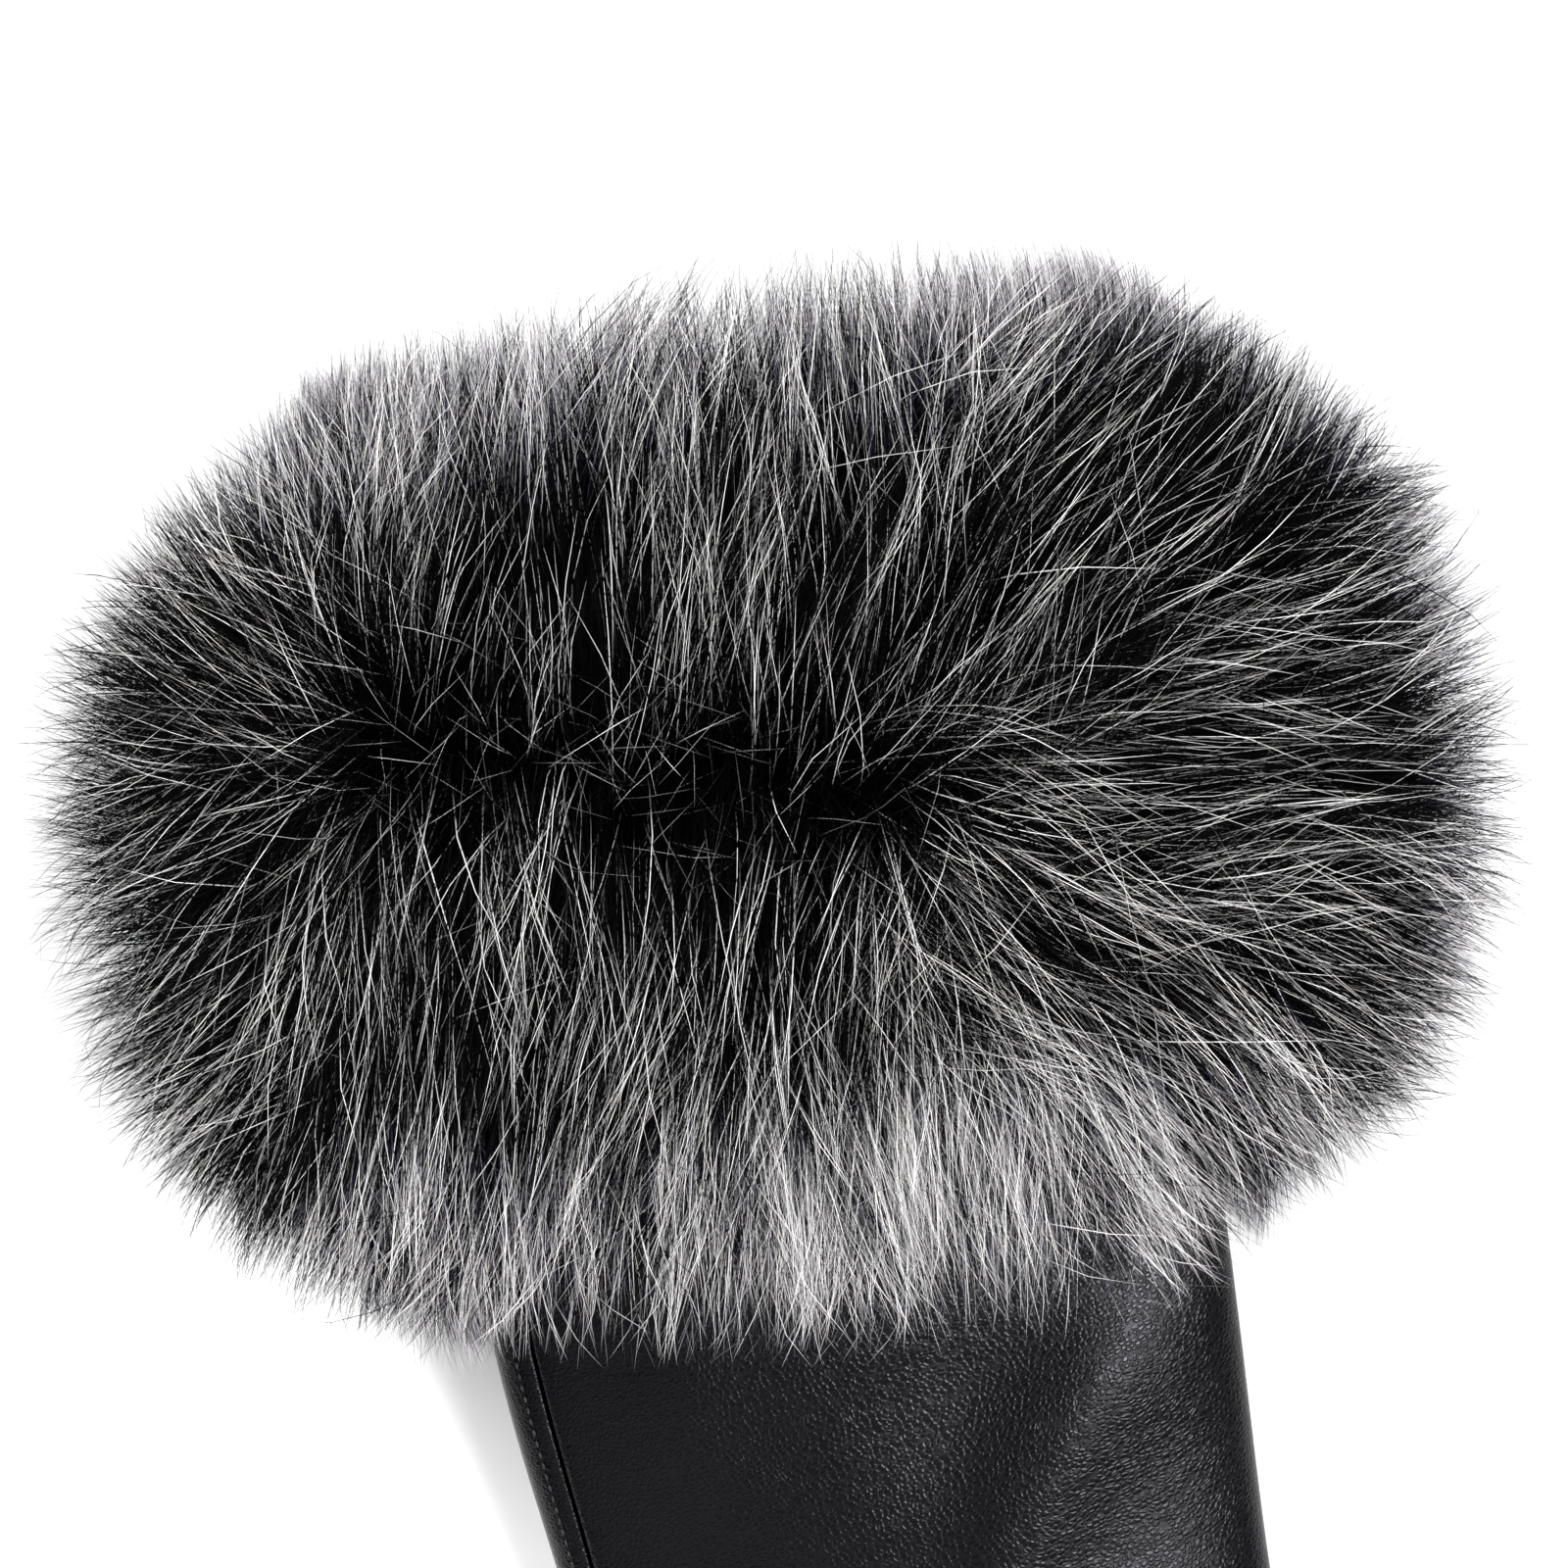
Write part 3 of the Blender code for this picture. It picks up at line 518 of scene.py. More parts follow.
def build_fourchette(i):
    sheet = Sheet()
    stations = [0.0] + [s for s in STATIONS if s < FOURCHETTE_END]
    rows = [side_row(sheet, i - 1, s, 0.0) for s in reversed(stations)]
    rows.append(crotch_row(sheet, i))
    rows += [side_row(sheet, i, s, math.pi) for s in stations]
    for a, b in zip(rows, rows[1:]):
        sheet.strip(a, b)
    return refine(sheet.build(f"side_strip_{FINGERS[i].name}_{FINGERS[i - 1].name}"), SUBDIVISIONS)


def side_row(sheet, i, s, side):
    keys = []
    for level in LEVELS:
        turn = level if side == 0.0 else -level
        seam = side + turn * seam_angle(s)
        end = abs(level) == 1
        angle = seam + seam_room(i, s, seam, -turn) if end else seam
        keys.append(sheet.point((i, s, level), finger_point(i, s, angle), finger_normal(i, s, seam)))
    return keys


def crotch_row(sheet, i):
    top, bottom = crotch_place(i, True)[0], crotch_place(i, False)[0]
    keys = []
    for level in LEVELS:
        place = mix(bottom, top, (1 + level) / 2) - np.array([0.0, 0.0, level * 2 * SEAM_GAP])
        normal = np.array([0.0, -1.0, float(level)]) / math.sqrt(1 + level * level)
        keys.append(sheet.point(("crotch", level), place, normal))
    return keys


def thumb_point(s, angle):
    lean = math.radians(THUMB_LEAN)
    across, z = own_ring(s, angle, THUMB_WIDTH, THUMB_THICK, THUMB_TIP_START, 0.0)
    section = section_at(THUMB_Y)
    middle = section.lift + section.thick / 2
    z = middle + (z - middle) * mix(THUMB_ROOT_THICK, 1.0, smoothstep(s / THUMB_ROOT))
    start = section.right - THUMB_INSIDE
    reach = s * THUMB_LENGTH
    x = start + across * math.cos(lean) + reach * math.sin(lean)
    return np.array([x, THUMB_Y + across * math.sin(lean) - reach * math.cos(lean), z])


def build_thumb():
    """A closed skin whose root lies inside the hand."""
    points, faces = [], []
    for row in range(THUMB_ROWS):
        s = mix(THUMB_SKIN_FROM, 1.0, math.sin(math.pi / 2 * row / THUMB_ROWS))
        points += [thumb_point(s, 2 * math.pi * (c + 0.5) / THUMB_COLUMNS) for c in range(THUMB_COLUMNS)]
    for row in range(THUMB_ROWS - 1):
        faces += between(row * THUMB_COLUMNS, (row + 1) * THUMB_COLUMNS, THUMB_COLUMNS)
    last = len(points) - THUMB_COLUMNS
    points.append(thumb_point(1.0, 0.0))
    faces += [[last + c, last + (c + 1) % THUMB_COLUMNS, len(points) - 1] for c in range(THUMB_COLUMNS)]
    faces.append(list(range(THUMB_COLUMNS)))
    return refine(make_piece("thumb_skin", points, faces), THUMB_SUBDIVISIONS)


# Stitches


def add_stitch(points, faces, centre, direction, up):
    """A short thread, thicker in its middle, added to points and faces."""
    side = np.cross(direction, up)
    start = len(points)
    for along, thick in STITCH_RINGS:
        for k in range(STITCH_CORNERS):
            turn = 2 * math.pi * k / STITCH_CORNERS
            offset = STITCH_RADIUS * thick * (math.cos(turn) * side + math.sin(turn) * up)
            points.append(centre + along * STITCH_LENGTH * direction + offset)
    last = len(points) - STITCH_CORNERS
    for ring in range(start, last, STITCH_CORNERS):
        faces += between(ring, ring + STITCH_CORNERS, STITCH_CORNERS)
    faces += [list(range(end, end + STITCH_CORNERS)) for end in (start, last)]


def build_stitches():
    """The row of small stitches beside the side seam, from the cuff to the little finger."""
    points, faces = [], []
    y = STITCHES_FROM
    while y > base_y(0) + 2 * MM:
        inset = max(side_seam_inset(y) - STITCH_ASIDE, 0.5 * MM)
        angle = math.pi - edge_angle(y, inset)
        place, normal = body_point(y, angle), body_normal(y, angle)
        ahead = body_point(y - STITCH_PITCH, angle) - place
        direction = ahead / np.linalg.norm(ahead)
        add_stitch(points, faces, place - STITCH_SUNK * normal, direction, normal)
        y -= STITCH_PITCH
    return make_piece("side_stitches", points, faces)


# Fur


SLEEVE_END = section_at(OPENING_Y)
SLEEVE_MIDDLE = SLEEVE_END.lift + SLEEVE_END.thick / 2

# The two kinds of hair: the shares of the outline at which the last ones end, how far a clump at the side
# spreads, and how pale they are: at least, away from the parting, there more to the right and below, along the
# rim, and in the bands along both long edges
Kind = namedtuple("Kind", "reach loose least core side lower rim band")
GUARD = Kind((0.90, 1.00), 2.0 * MM, 0.02, 0.27, 0.04, 0.11, -0.05, 0.33)
# The underfur's near-black over the top, away from the rim and the bands, is painted shade where it lies deep
# under the guard hair
UNDER = Kind((0.955, 1.005), 3.0 * MM, 0.01, 0.03, 0.0, 0.0, 0.42, 0.72)

# Hair over the top: how far a clump spreads, and how far below the fur's surface its hairs may end, as a share
Top = namedtuple("Top", "kind count clumps loose deep")
TOP_GUARD = Top(GUARD, 26500, 1700, 0.9 * MM, 0.14)
TOP_UNDER = Top(UNDER, 17500, 2200, 2.0 * MM, 0.25)
CORE_HAIRS = 450

# Hair round the sides: the angles round the pelt at which it leaves, from one side, its lean along the glove
# from the hand to the opening, and the hairs and clumps of each kind
Side = namedtuple("Side", "low high hand opening guard guard_clumps under under_clumps")
SIDES = [
    Side(-1.40, 0.60, -1.19, 1.26, 8500, 1200, 11000, 1700),  # the sides themselves
    Side(0.00, math.pi / 2, 0.95, 1.32, 2500, 300, 3900, 650),  # the end at the opening
    Side(-1.20, 0.35, -1.50, -1.00, 1500, 250, 2900, 420),  # the end at the hand
    Side(-math.pi / 2, 0.08, 0.98, 1.32, 1400, 160, 1900, 280),  # under the opening
    Side(-math.pi / 2, -1.10, -1.40, -0.95, 700, 90, 700, 110),  # under the hand's end
]
SIDE_LENGTH = 60 * MM  # turns a clump's spread into an angle
MOST_FAN = 1.52
ROOT_VARIES = 0.07  # round the pelt and along it
SIDE_SHORTEST = 0.84  # share of the way to the fur's outline
TIP_SCATTER = 0.7 * MM
PELT_WIDE, PELT_THICK = 0.98, 0.95  # shares of the sleeve's, where the roots at the sides lie
ROOT_ARM, TIP_ARM = 0.30, 0.35
SAG = 0.12


def unit(vectors):
    return vectors / np.maximum(np.linalg.norm(vectors, axis=-1, keepdims=True), 1e-9)


def ramp_between(value, low, high):
    t = np.clip((value - low) / (high - low), 0, 1)
    return t * t * (3 - 2 * t)


def towards(plan):
    """The fur's outline on the side these places lie: how far it reaches from its middle, and its power."""
    low = plan[:, 1] < FUR_MIDDLE[1]
    beside = ramp_between(np.abs(plan[:, 0]), 0.44 * SLEEVE_WIDTH, 0.56 * SLEEVE_WIDTH)
    further = mix(OVER_LEATHER + EDGE_SLANT * plan[:, 0], FUR_LOW_REACH, beside)
    return FUR_LENGTH / 2 + np.where(low, further, 0.0), np.where(low, FUR_LOW_POWER, FUR_POWER)


def rim_share(plan):
    """0 at the middle of the fur, 1 at its rim, seen from above."""
    reach, exponent = towards(plan)
    across, along = np.abs(plan - FUR_MIDDLE).T
    return ((2 * across / FUR_WIDTH) ** exponent + (along / reach) ** exponent) ** (1 / exponent)


def within(plan, most):
    """The same places, drawn in to this share of the fur's outline where they lie past it."""
    over = np.maximum(rim_share(plan) / most, 1.0)
    return FUR_MIDDLE + (plan - FUR_MIDDLE) / over[:, None]


def dome_height(plan):
    """The fur's height seen from above."""
    reach, exponent = towards(plan)
    across, along = np.abs(plan - FUR_MIDDLE).T
    ring = (1 - np.clip(along / reach, 0, 1) ** exponent) ** (1 / exponent)
    share = np.clip(2 * across / FUR_WIDTH / np.maximum(ring, 1e-3), 0, 1) ** FUR_TOP_POWER
    return SLEEVE_MIDDLE + (FUR_HEIGHT - SLEEVE_MIDDLE) * ring * (1 - share) ** (1 / FUR_TOP_POWER)


def leather_top(plan):
    """The height of the leather's back under these places, and -1 beside it."""
    ys = np.linspace(0, OPENING_Y, 60)
    table = [section_at(y) for y in ys]
    columns = [(s.left, s.right, s.lift + s.thick / 2, s.thick / 2) for s in table]
    left, right, lift, high = (np.interp(plan[:, 1], ys, column) for column in zip(*columns))
    share = np.abs(2 * (plan[:, 0] - (left + right) / 2) / (right - left))
    rise = high * np.clip(1 - share**SECTION_POWER, 0, 1) ** (1 / SECTION_POWER)
    return np.where((share < 1) & (plan[:, 1] < OPENING_Y), lift + rise, -1.0)


def from_parting(plan):
    """The way and the distance to these places from the nearest place on the parting."""
    start, end = PARTING
    line = end - start
    t = np.clip(((plan - start) @ line) / (line @ line), 0, 1)
    away = plan - (start + t[:, None] * line)
    far = np.linalg.norm(away, axis=1)
    return away / np.maximum(far, 1e-6)[:, None], far


# Each hair is a curve from a to d, with b and c as its handles
Hairs = namedtuple("Hairs", "a b c d width shade")


def handles(roots, heading, tips, rise, bend):
    """The handles of hairs from these roots to these tips, which leave upright and end along their heading."""
    length = np.linalg.norm(tips - roots, axis=1)
    along = unit(np.column_stack([heading, rise]))
    outward = unit(np.column_stack([0.5 * heading, np.ones(len(heading))]))
    sideways = np.column_stack([-heading[:, 1], heading[:, 0], np.zeros(len(heading))])
    arm = (ARM * length)[:, None]
    return roots + outward * arm, tips - along * arm + sideways * (bend * length)[:, None]


def top_hairs(chance, group):
    """Hairs whose ends lie over the top of the fur, leaning away from the parting and gathered in clumps."""
    count = group.count
    centres = plan_places(chance, group.clumps)
    clumps = len(centres)
    chosen = chance.integers(0, clumps, count)
    way, _ = from_parting(centres)
    turn = (0.9 * wander(centres) + chance.normal(0, CLUMP_TURN, clumps))[chosen]
    turn = turn + chance.normal(0, HAIR_TURN, count)
    stray = chance.random(count) < STRAYS
    turn = np.where(stray, chance.normal(0, STRAY_TURN, count), turn)
    way = way[chosen]
    across = np.stack([-way[:, 1], way[:, 0]], axis=1)
    heading = unit(way * np.cos(turn)[:, None] + across * np.sin(turn)[:, None])
    ends = centres[chosen] + across * chance.normal(0, group.loose, count)[:, None]
    ends = ends + way * chance.uniform(*CLUMP_SPAN, count)[:, None]
    ends = within(ends, chance.uniform(*group.kind.reach, count))
    _, far = from_parting(ends)
    height = dome_height(ends) * (1 - group.deep * chance.random(count) ** 1.3)
    height = np.maximum(height, leather_top(ends) + chance.uniform(0.6, 4.0, count) * MM)
    lean = np.clip(far / LEAN_OVER, 0, 1)
    reach = mix(NEAR_REACH, FAR_REACH, lean) * chance.uniform(0.80, 1.10, count)
    roots = ends - heading * reach[:, None] + chance.normal(0, ROOT_SPREAD, (count, 2))
    roots = np.clip(roots, [-PELT_HALF, PELT_FROM], [PELT_HALF, PELT_TO])
    roots = on_pelt(roots)
    tips = np.column_stack([ends, height])
    droop = DROOP * ramp_between(rim_share(ends), DROOP_FROM, DROOP_TO)
    rise = mix(NEAR_RISE, FAR_RISE, lean) + chance.normal(0, 0.10, count) - droop
    bend = chance.normal(0, CLUMP_BEND, clumps)[chosen]
    bend = bend + mix(NEAR_BEND, FAR_BEND, lean) * chance.normal(0, 1, count)
    b, c = handles(roots, heading, tips, rise, bend)
    tone = (chance.uniform(*CLUMP_TONES, clumps) + patches(centres))[chosen]
    shade = shades(chance, ends, group.kind, tone)
    return Hairs(roots, b, c, tips, HAIR_WIDTH * chance.uniform(*WIDTHS, count), shade)


def on_pelt(plan):
    return np.column_stack([plan, np.maximum(leather_top(plan), PELT_Z)])


def shades(chance, ends, kind, tone):
    """Each hair's shade from 0, black, to 1: guard hairs are pale or dark, and underfur lies between."""
    pale = paleness(ends, kind) * tone
    noise = chance.normal(0, 1, len(ends))
    if kind is GUARD:
        light, dark = PALE_SHADE + PALE_VARIES * noise, DARK_VARIES * np.abs(noise)
        shade = np.where(chance.random(len(ends)) < pale, light, dark)
    else:
        shade = pale * (1 + UNDER_VARIES * noise)
    return np.clip(shade, 0, 1)


def core_hairs(chance, count):
    """Single curved hairs that stand over the dark parting and point in every direction."""
    start, end = PARTING
    base = start + (end - start) * chance.uniform(-0.1, 1.1, count)[:, None]
    base = base + chance.normal(0, 8 * MM, (count, 2))
    turn = chance.uniform(-math.pi, math.pi, count)
    heading = np.column_stack([np.cos(turn), np.sin(turn)])
    ends = base + heading * chance.uniform(3 * MM, 11 * MM, count)[:, None]
    tips = np.column_stack([ends, dome_height(ends) - chance.uniform(2 * MM, 18 * MM, count)])
    roots = on_pelt(base - heading * chance.uniform(0, 6 * MM, count)[:, None])
    rise, bend = chance.normal(0.1, 0.35, count), chance.normal(0, 0.28, count)
    b, c = handles(roots, heading, tips, rise, bend)
    shade = np.clip(chance.normal(0.30, 0.22, count), 0.02, 1)
    return Hairs(roots, b, c, tips, CORE_HAIR_WIDTH * chance.uniform(*CORE_WIDTHS, count), shade)


def joined(*groups):
    return Hairs(*[np.concatenate(values) for values in zip(*groups)])


def wander(places):
    """A slow, smooth change of direction over the fur, so that neighbouring clumps lean alike."""
    x, y = places.T / (9 * MM)
    waves = np.sin(1.3 * x + 0.7 * y) + np.sin(0.6 * x - 1.1 * y + 2.0) + 0.8 * np.sin(0.35 * x + 1.9 * y)
    return 0.16 * waves


def patches(places):
    """Slow changes in how pale neighbouring clumps are, from darker gaps to paler tufts."""
    x, y = places.T / (5 * MM)
    waves = np.sin(1.1 * x + 0.5 * y + 1.0) + np.sin(0.4 * x - 0.9 * y) + np.sin(1.9 * x - 0.3 * y + 4.0)
    return 0.16 * waves


def paleness(ends, kind):
    """How pale hair ending here is: dark at the parting, pale along both long edges. The dark at the parting
    is partly the dark base seen in its hollow and partly painted shade of that hollow; underfur is pale only
    along the rim and the bands, its dark over the rest being painted shade under the guard hair.
    """
    _, far = from_parting(ends)
    core = ramp_between(far, CORE_FROM, CORE_TO)
    low_band = ramp_between(LOW_BAND_Y - ends[:, 1], 0, LOW_BAND_FADE)
    high_band = ramp_between(ends[:, 1] - HIGH_BAND_Y, 0, HIGH_BAND_FADE)
    inward = ramp_between(BAND_HALF - np.abs(ends[:, 0]), 0, BAND_END_FADE)
    band = np.maximum(low_band, HIGH_BAND_SHARE * high_band) * inward
    lower = ramp_between(LOWER_Y - ends[:, 1], 0, LOWER_FADE)
    side = ends[:, 0] / (FUR_WIDTH / 2)
    rim = ramp_between(rim_share(ends), RIM_FROM, RIM_TO) * (1 - band) * (1 + RIM_SIDE * side)
    away = (kind.core + kind.side * side + kind.lower * lower) * core
    return kind.least + away + kind.rim * rim + kind.band * band


def plan_places(chance, count):
    """Places spread evenly over the fur seen from above, few of them on the parting."""
    half = np.array([FUR_WIDTH / 2, FUR_LENGTH / 2 + FUR_LOW_REACH])
    places = chance.uniform(FUR_MIDDLE - half, FUR_MIDDLE + half, (count * 4, 2))
    _, far = from_parting(places)
    low_edge = ramp_between(LOW_EDGE_Y - places[:, 1], 0, LOW_EDGE_FADE)
    wanted = np.minimum(mix(SPARSEST, 1.0, (far / SPARSE_WITHIN) ** 1.5), 1) * mix(ELSEWHERE, 1.0, low_edge)
    return places[(rim_share(places) < 1) & (chance.random(len(places)) < wanted)][:count]


def fur_end(fan, angle):
    """Where hair ends that leaves the pelt at these angles, fanned out along the glove and round it."""
    up = np.sin(angle)
    low = fan < 0
    exponent = np.where(low, 2 / FUR_LOW_POWER, 2 / FUR_POWER)
    reach = FUR_LENGTH / 2 + np.where(low, FUR_LOW_REACH * (1 - np.maximum(up, 0)), 0.0)
    y = FUR_MIDDLE[1] + reach * signed_power(np.sin(fan), exponent)
    ring = np.cos(fan) ** exponent
    half = np.maximum(FUR_WIDTH / 2 * ring, SLEEVE_WIDTH / 2 + FUR_CLEAR)
    exponent = 2 / np.where(up < 0, FUR_REST_POWER, FUR_TOP_POWER)
    rise = np.abs(up) ** exponent
    above = SLEEVE_MIDDLE + (FUR_HEIGHT - SLEEVE_MIDDLE) * ring * rise
    z = np.where(up < 0, SLEEVE_MIDDLE * (1 - rise), above)
    return np.column_stack([half * signed_power(np.cos(angle), exponent), y, z])


def signed_power(values, exponent):
    return np.sign(values) * np.abs(values) ** exponent


def side_hairs(chance, group, kind):
    """Hairs of this kind on both sides of the fur, leaving the pelt within this group's angles."""
    count, clumps = (group.guard, group.guard_clumps) if kind is GUARD else (group.under, group.under_clumps)
    half = clumps // 2
    around = mix(group.low, group.high, chance.random(2 * half) ** 0.75)
    around = np.where(np.arange(2 * half) < half, around, math.pi - around)
    fan = np.arcsin(chance.uniform(math.sin(group.hand), math.sin(group.opening), 2 * half))
    chosen = chance.integers(0, 2 * half, count)
    angle = around[chosen] + chance.normal(0, ROOT_VARIES, count)
    along = np.clip(fan[chosen] / FUR_FAN + chance.normal(0, ROOT_VARIES, count), -1, 1)
    loose = kind.loose / SIDE_LENGTH
    end_angle = around[chosen] + chance.normal(0, 0.5 * loose, count)
    end_fan = np.clip(fan[chosen] + chance.normal(0, loose, count), -MOST_FAN, MOST_FAN)
    cos_a, sin_a = np.cos(angle), np.sin(angle)
    roots = np.column_stack(
        [
            PELT_WIDE * SLEEVE_WIDTH / 2 * signed_power(cos_a, PELT_POWER),
            mix(PELT_FROM, PELT_TO, (along + 1) / 2),
            SLEEVE_MIDDLE + PELT_THICK * SLEEVE_END.thick / 2 * signed_power(sin_a, PELT_POWER),
        ]
    )
    ends = fur_end(end_fan, end_angle)
    ends[:, :2] = within(ends[:, :2], chance.uniform(*kind.reach, count))
    tips = roots + (ends - roots) * (chance.uniform(SIDE_SHORTEST, 1.0, count) ** 0.7)[:, None]
    tips += chance.normal(0, TIP_SCATTER, (count, 3))
    tips[:, 2] = np.maximum(tips[:, 2], chance.uniform(0.1, 1.2, count) * MM)
    length = np.linalg.norm(tips - roots, axis=1)[:, None]
    out = unit(np.column_stack([cos_a * 0.7, 0.3 * along, sin_a]))
    b = roots + out * ROOT_ARM * length
    b[:, 2] = np.maximum(b[:, 2], 0.5 * MM)
    way = unit(tips - b + np.array([0, 0, -SAG]) * length)
    c = tips - way * TIP_ARM * length + chance.normal(0, 0.03, (count, 3)) * length
    c[:, 2] = np.maximum(c[:, 2], 0.4 * MM)
    tone = chance.uniform(*SIDE_TONES, 2 * half)[chosen]
    shade = shades(chance, ends[:, :2], kind, tone)
    return Hairs(roots, b, c, tips, HAIR_WIDTH * chance.uniform(*SIDE_WIDTHS, count), shade)


def build_ribbons(name, hairs, chance, parts, start):
    """Each hair as a flat ribbon that narrows to a point, from where it leaves the dark depth of the fur.

    UV: u is its shade and v runs from root to tip, both kept off the map's edges.
    """
    count = len(hairs.a)
    stops = np.linspace(start, 1, parts + 1)
    spin = unit(chance.normal(0, 1, (count, 3)))
    sides = []
    for t in stops:
        at = curve_at(hairs, t)
        tangent = unit(curve_at(hairs, min(t + 0.02, 1.0)) - curve_at(hairs, max(t - 0.02, 0.0)))
        side = unit(np.cross(tangent, spin))
        taper = min(1.0, TAPER * (1 - t) ** TAPER_POWER)
        offset = side * (hairs.width / 2 * taper)[:, None]
        sides.append((at - offset, at + offset))
    rows = [np.stack(pair, axis=1) for pair in sides[:-1]]
    body = np.concatenate(rows + [curve_at(hairs, 1.0)[:, None, :]], axis=1)
    per = body.shape[1]
    points = body.reshape(-1, 3)
    base = np.arange(count)[:, None] * per
    quads = np.concatenate([base + 2 * k + np.array([0, 1, 3, 2]) for k in range(parts - 1)])
    caps = base + per + np.array([-3, -2, -1])
    corners = np.concatenate([quads.ravel(), caps.ravel()]).astype(np.int32)
    starts = np.concatenate([np.arange(len(quads)) * 4, len(quads) * 4 + np.arange(count) * 3])
    mesh = bpy.data.meshes.new(name)
    mesh.vertices.add(len(points))
    mesh.vertices.foreach_set("co", points.astype(np.float32).ravel())
    mesh.loops.add(len(corners))
    mesh.loops.foreach_set("vertex_index", corners)
    mesh.polygons.add(len(starts))
    mesh.polygons.foreach_set("loop_start", starts.astype(np.int32))
    v = np.concatenate([np.repeat(stops[:-1], 2), [1.0]])
    nudge = np.concatenate([np.tile([-0.001, 0.001], parts), [0.0]])
    uv_point = np.empty((count, per, 2), dtype=np.float32)
    uv_point[:, :, 0] = 0.01 + 0.98 * hairs.shade[:, None] + nudge
    uv_point[:, :, 1] = 0.005 + 0.99 * v
    layer = mesh.uv_layers.new(name="OFBake")
    layer.data.foreach_set("uv", uv_point.reshape(-1, 2)[corners].ravel())
    mesh.update(calc_edges=True)
    mesh.validate()
    mesh.shade_smooth()
    return new_object(name, mesh)


def curve_at(hairs, t):
    s = 1 - t
    return s**3 * hairs.a + 3 * s * s * t * hairs.b + 3 * s * t * t * hairs.c + t**3 * hairs.d


def build_core():
    """The dark depth of the fur under its hair, closed, with the sleeve passing through it. It stands for the
    dense lower hair: its own dark colour, with the shade deep in the fur painted on.
    """
    columns = CORE_COLUMNS
    angles = 2 * math.pi * np.arange(columns) / columns
    points, faces = [], []
    for row in range(CORE_ROWS + 1):
        along = 2 * row / CORE_ROWS - 1
        y = mix(PELT_FROM, PELT_TO, row / CORE_ROWS)
        roots = np.array([body_point(y, a) + CORE_OUTSIDE * body_normal(y, a) for a in angles])
        ends = fur_end(np.full(columns, along * FUR_FAN), angles)
        points.extend(mix(roots, ends, CORE_SHARE * (1 - CORE_SLIM * abs(along) ** 3)))
    for row in range(CORE_ROWS):
        faces += between(row * columns, (row + 1) * columns, columns)
    last, hole = CORE_ROWS * columns, len(points)
    for end in (PELT_FROM, PELT_TO):
        points += [body_point(end, a) + CORE_INSIDE * body_normal(end, a) for a in angles]
    faces += between(0, hole, columns) + between(last, hole + columns, columns)
    faces += between(hole, hole + columns, columns)
    return make_piece("fur_depth", points, faces)


# Materials


# Each material's colour runs from the first of these to the second
LEATHER_TONES = (0.0006, 0.0006, 0.0008), (0.0016, 0.0016, 0.0021)
THREAD_TONES = (0.006, 0.006, 0.007), (0.014, 0.014, 0.016)
# The depth's near-black: the lower hair's own dark colour, with the shade deep in the fur painted in
DEPTH_AND_SHADE_TONES = (0.0003, 0.0003, 0.0004), (0.0015, 0.0015, 0.0022)
SURFACE_TONES = (0.90, 0.90, 0.90), (0.93, 0.93, 0.93)
GRAIN_TURN = math.radians(24)
GRAIN_STRETCH, CREASE_STRETCH = (1.25, 0.85, 1.0), (0.30, 1.0, 1.0)
GRAIN_DRIFT = 3 * MM

# Hair's colour at places along it, from its root to its tip
GUARD_STOPS = [
    (0.00, (0.0006, 0.0006, 0.0008)),
    (0.62, (0.0012, 0.0012, 0.0016)),
    (0.72, (0.15, 0.148, 0.156)),
    (0.82, (0.60, 0.59, 0.585)),
    (1.00, (0.90, 0.885, 0.875)),
]
UNDER_STOPS = [
    (0.00, (0.0006, 0.0006, 0.0008)),
    (0.78, (0.0018, 0.0019, 0.0032)),
    (0.86, (0.026, 0.027, 0.048)),
    (0.93, (0.28, 0.27, 0.305)),
    (1.00, (0.70, 0.67, 0.69)),
]
LATEST_END, END_PER_SHADE = 0.15, -0.30  # how far black hair's pale end moves up, and any hair's by its shade
BLACK_SHADE, FULL_SHADE = 0.04, 0.55


def new_material(name):
    material = bpy.data.materials.new(name)
    material.use_nodes = True
    tree = material.node_tree
    return material, tree, tree.nodes["Principled BSDF"]


def settle(node, **settings):
    """Set a node's inputs and options by name, with _ for a space."""
    for key, value in settings.items():
        name = key.replace("_", " ")
        if name in node.inputs:
            node.inputs[name].default_value = value
        else:
            setattr(node, key.lower(), value)
    return node


def add(tree, kind, **settings):
    return settle(tree.nodes.new(kind), **settings)


def connect(tree, *links):
    """Links, each from a node's output to a node's input."""
    for source, output, target, entry in links:
        tree.links.new(source.outputs[output], target.inputs[entry])


def texture(tree, kind, **settings):
    """A texture in the object's own space."""
    node = add(tree, kind, **settings)
    connect(tree, (add(tree, "ShaderNodeTexCoord"), "Object", node, "Vector"))
    return node


def paint(tree, shader, pattern, tones):
    """Base colour that runs between these two tones with the pattern."""
    ramp = add(tree, "ShaderNodeValToRGB")
    for element, tone in zip(ramp.color_ramp.elements, tones):
        element.color = (*tone, 1)
    connect(tree, (pattern, "Fac", ramp, "Fac"), (ramp, "Color", shader, "Base Color"))


def emboss(tree, pattern, output, **settings):
    bump = add(tree, "ShaderNodeBump", **settings)
    connect(tree, (pattern, output, bump, "Height"))
    return bump


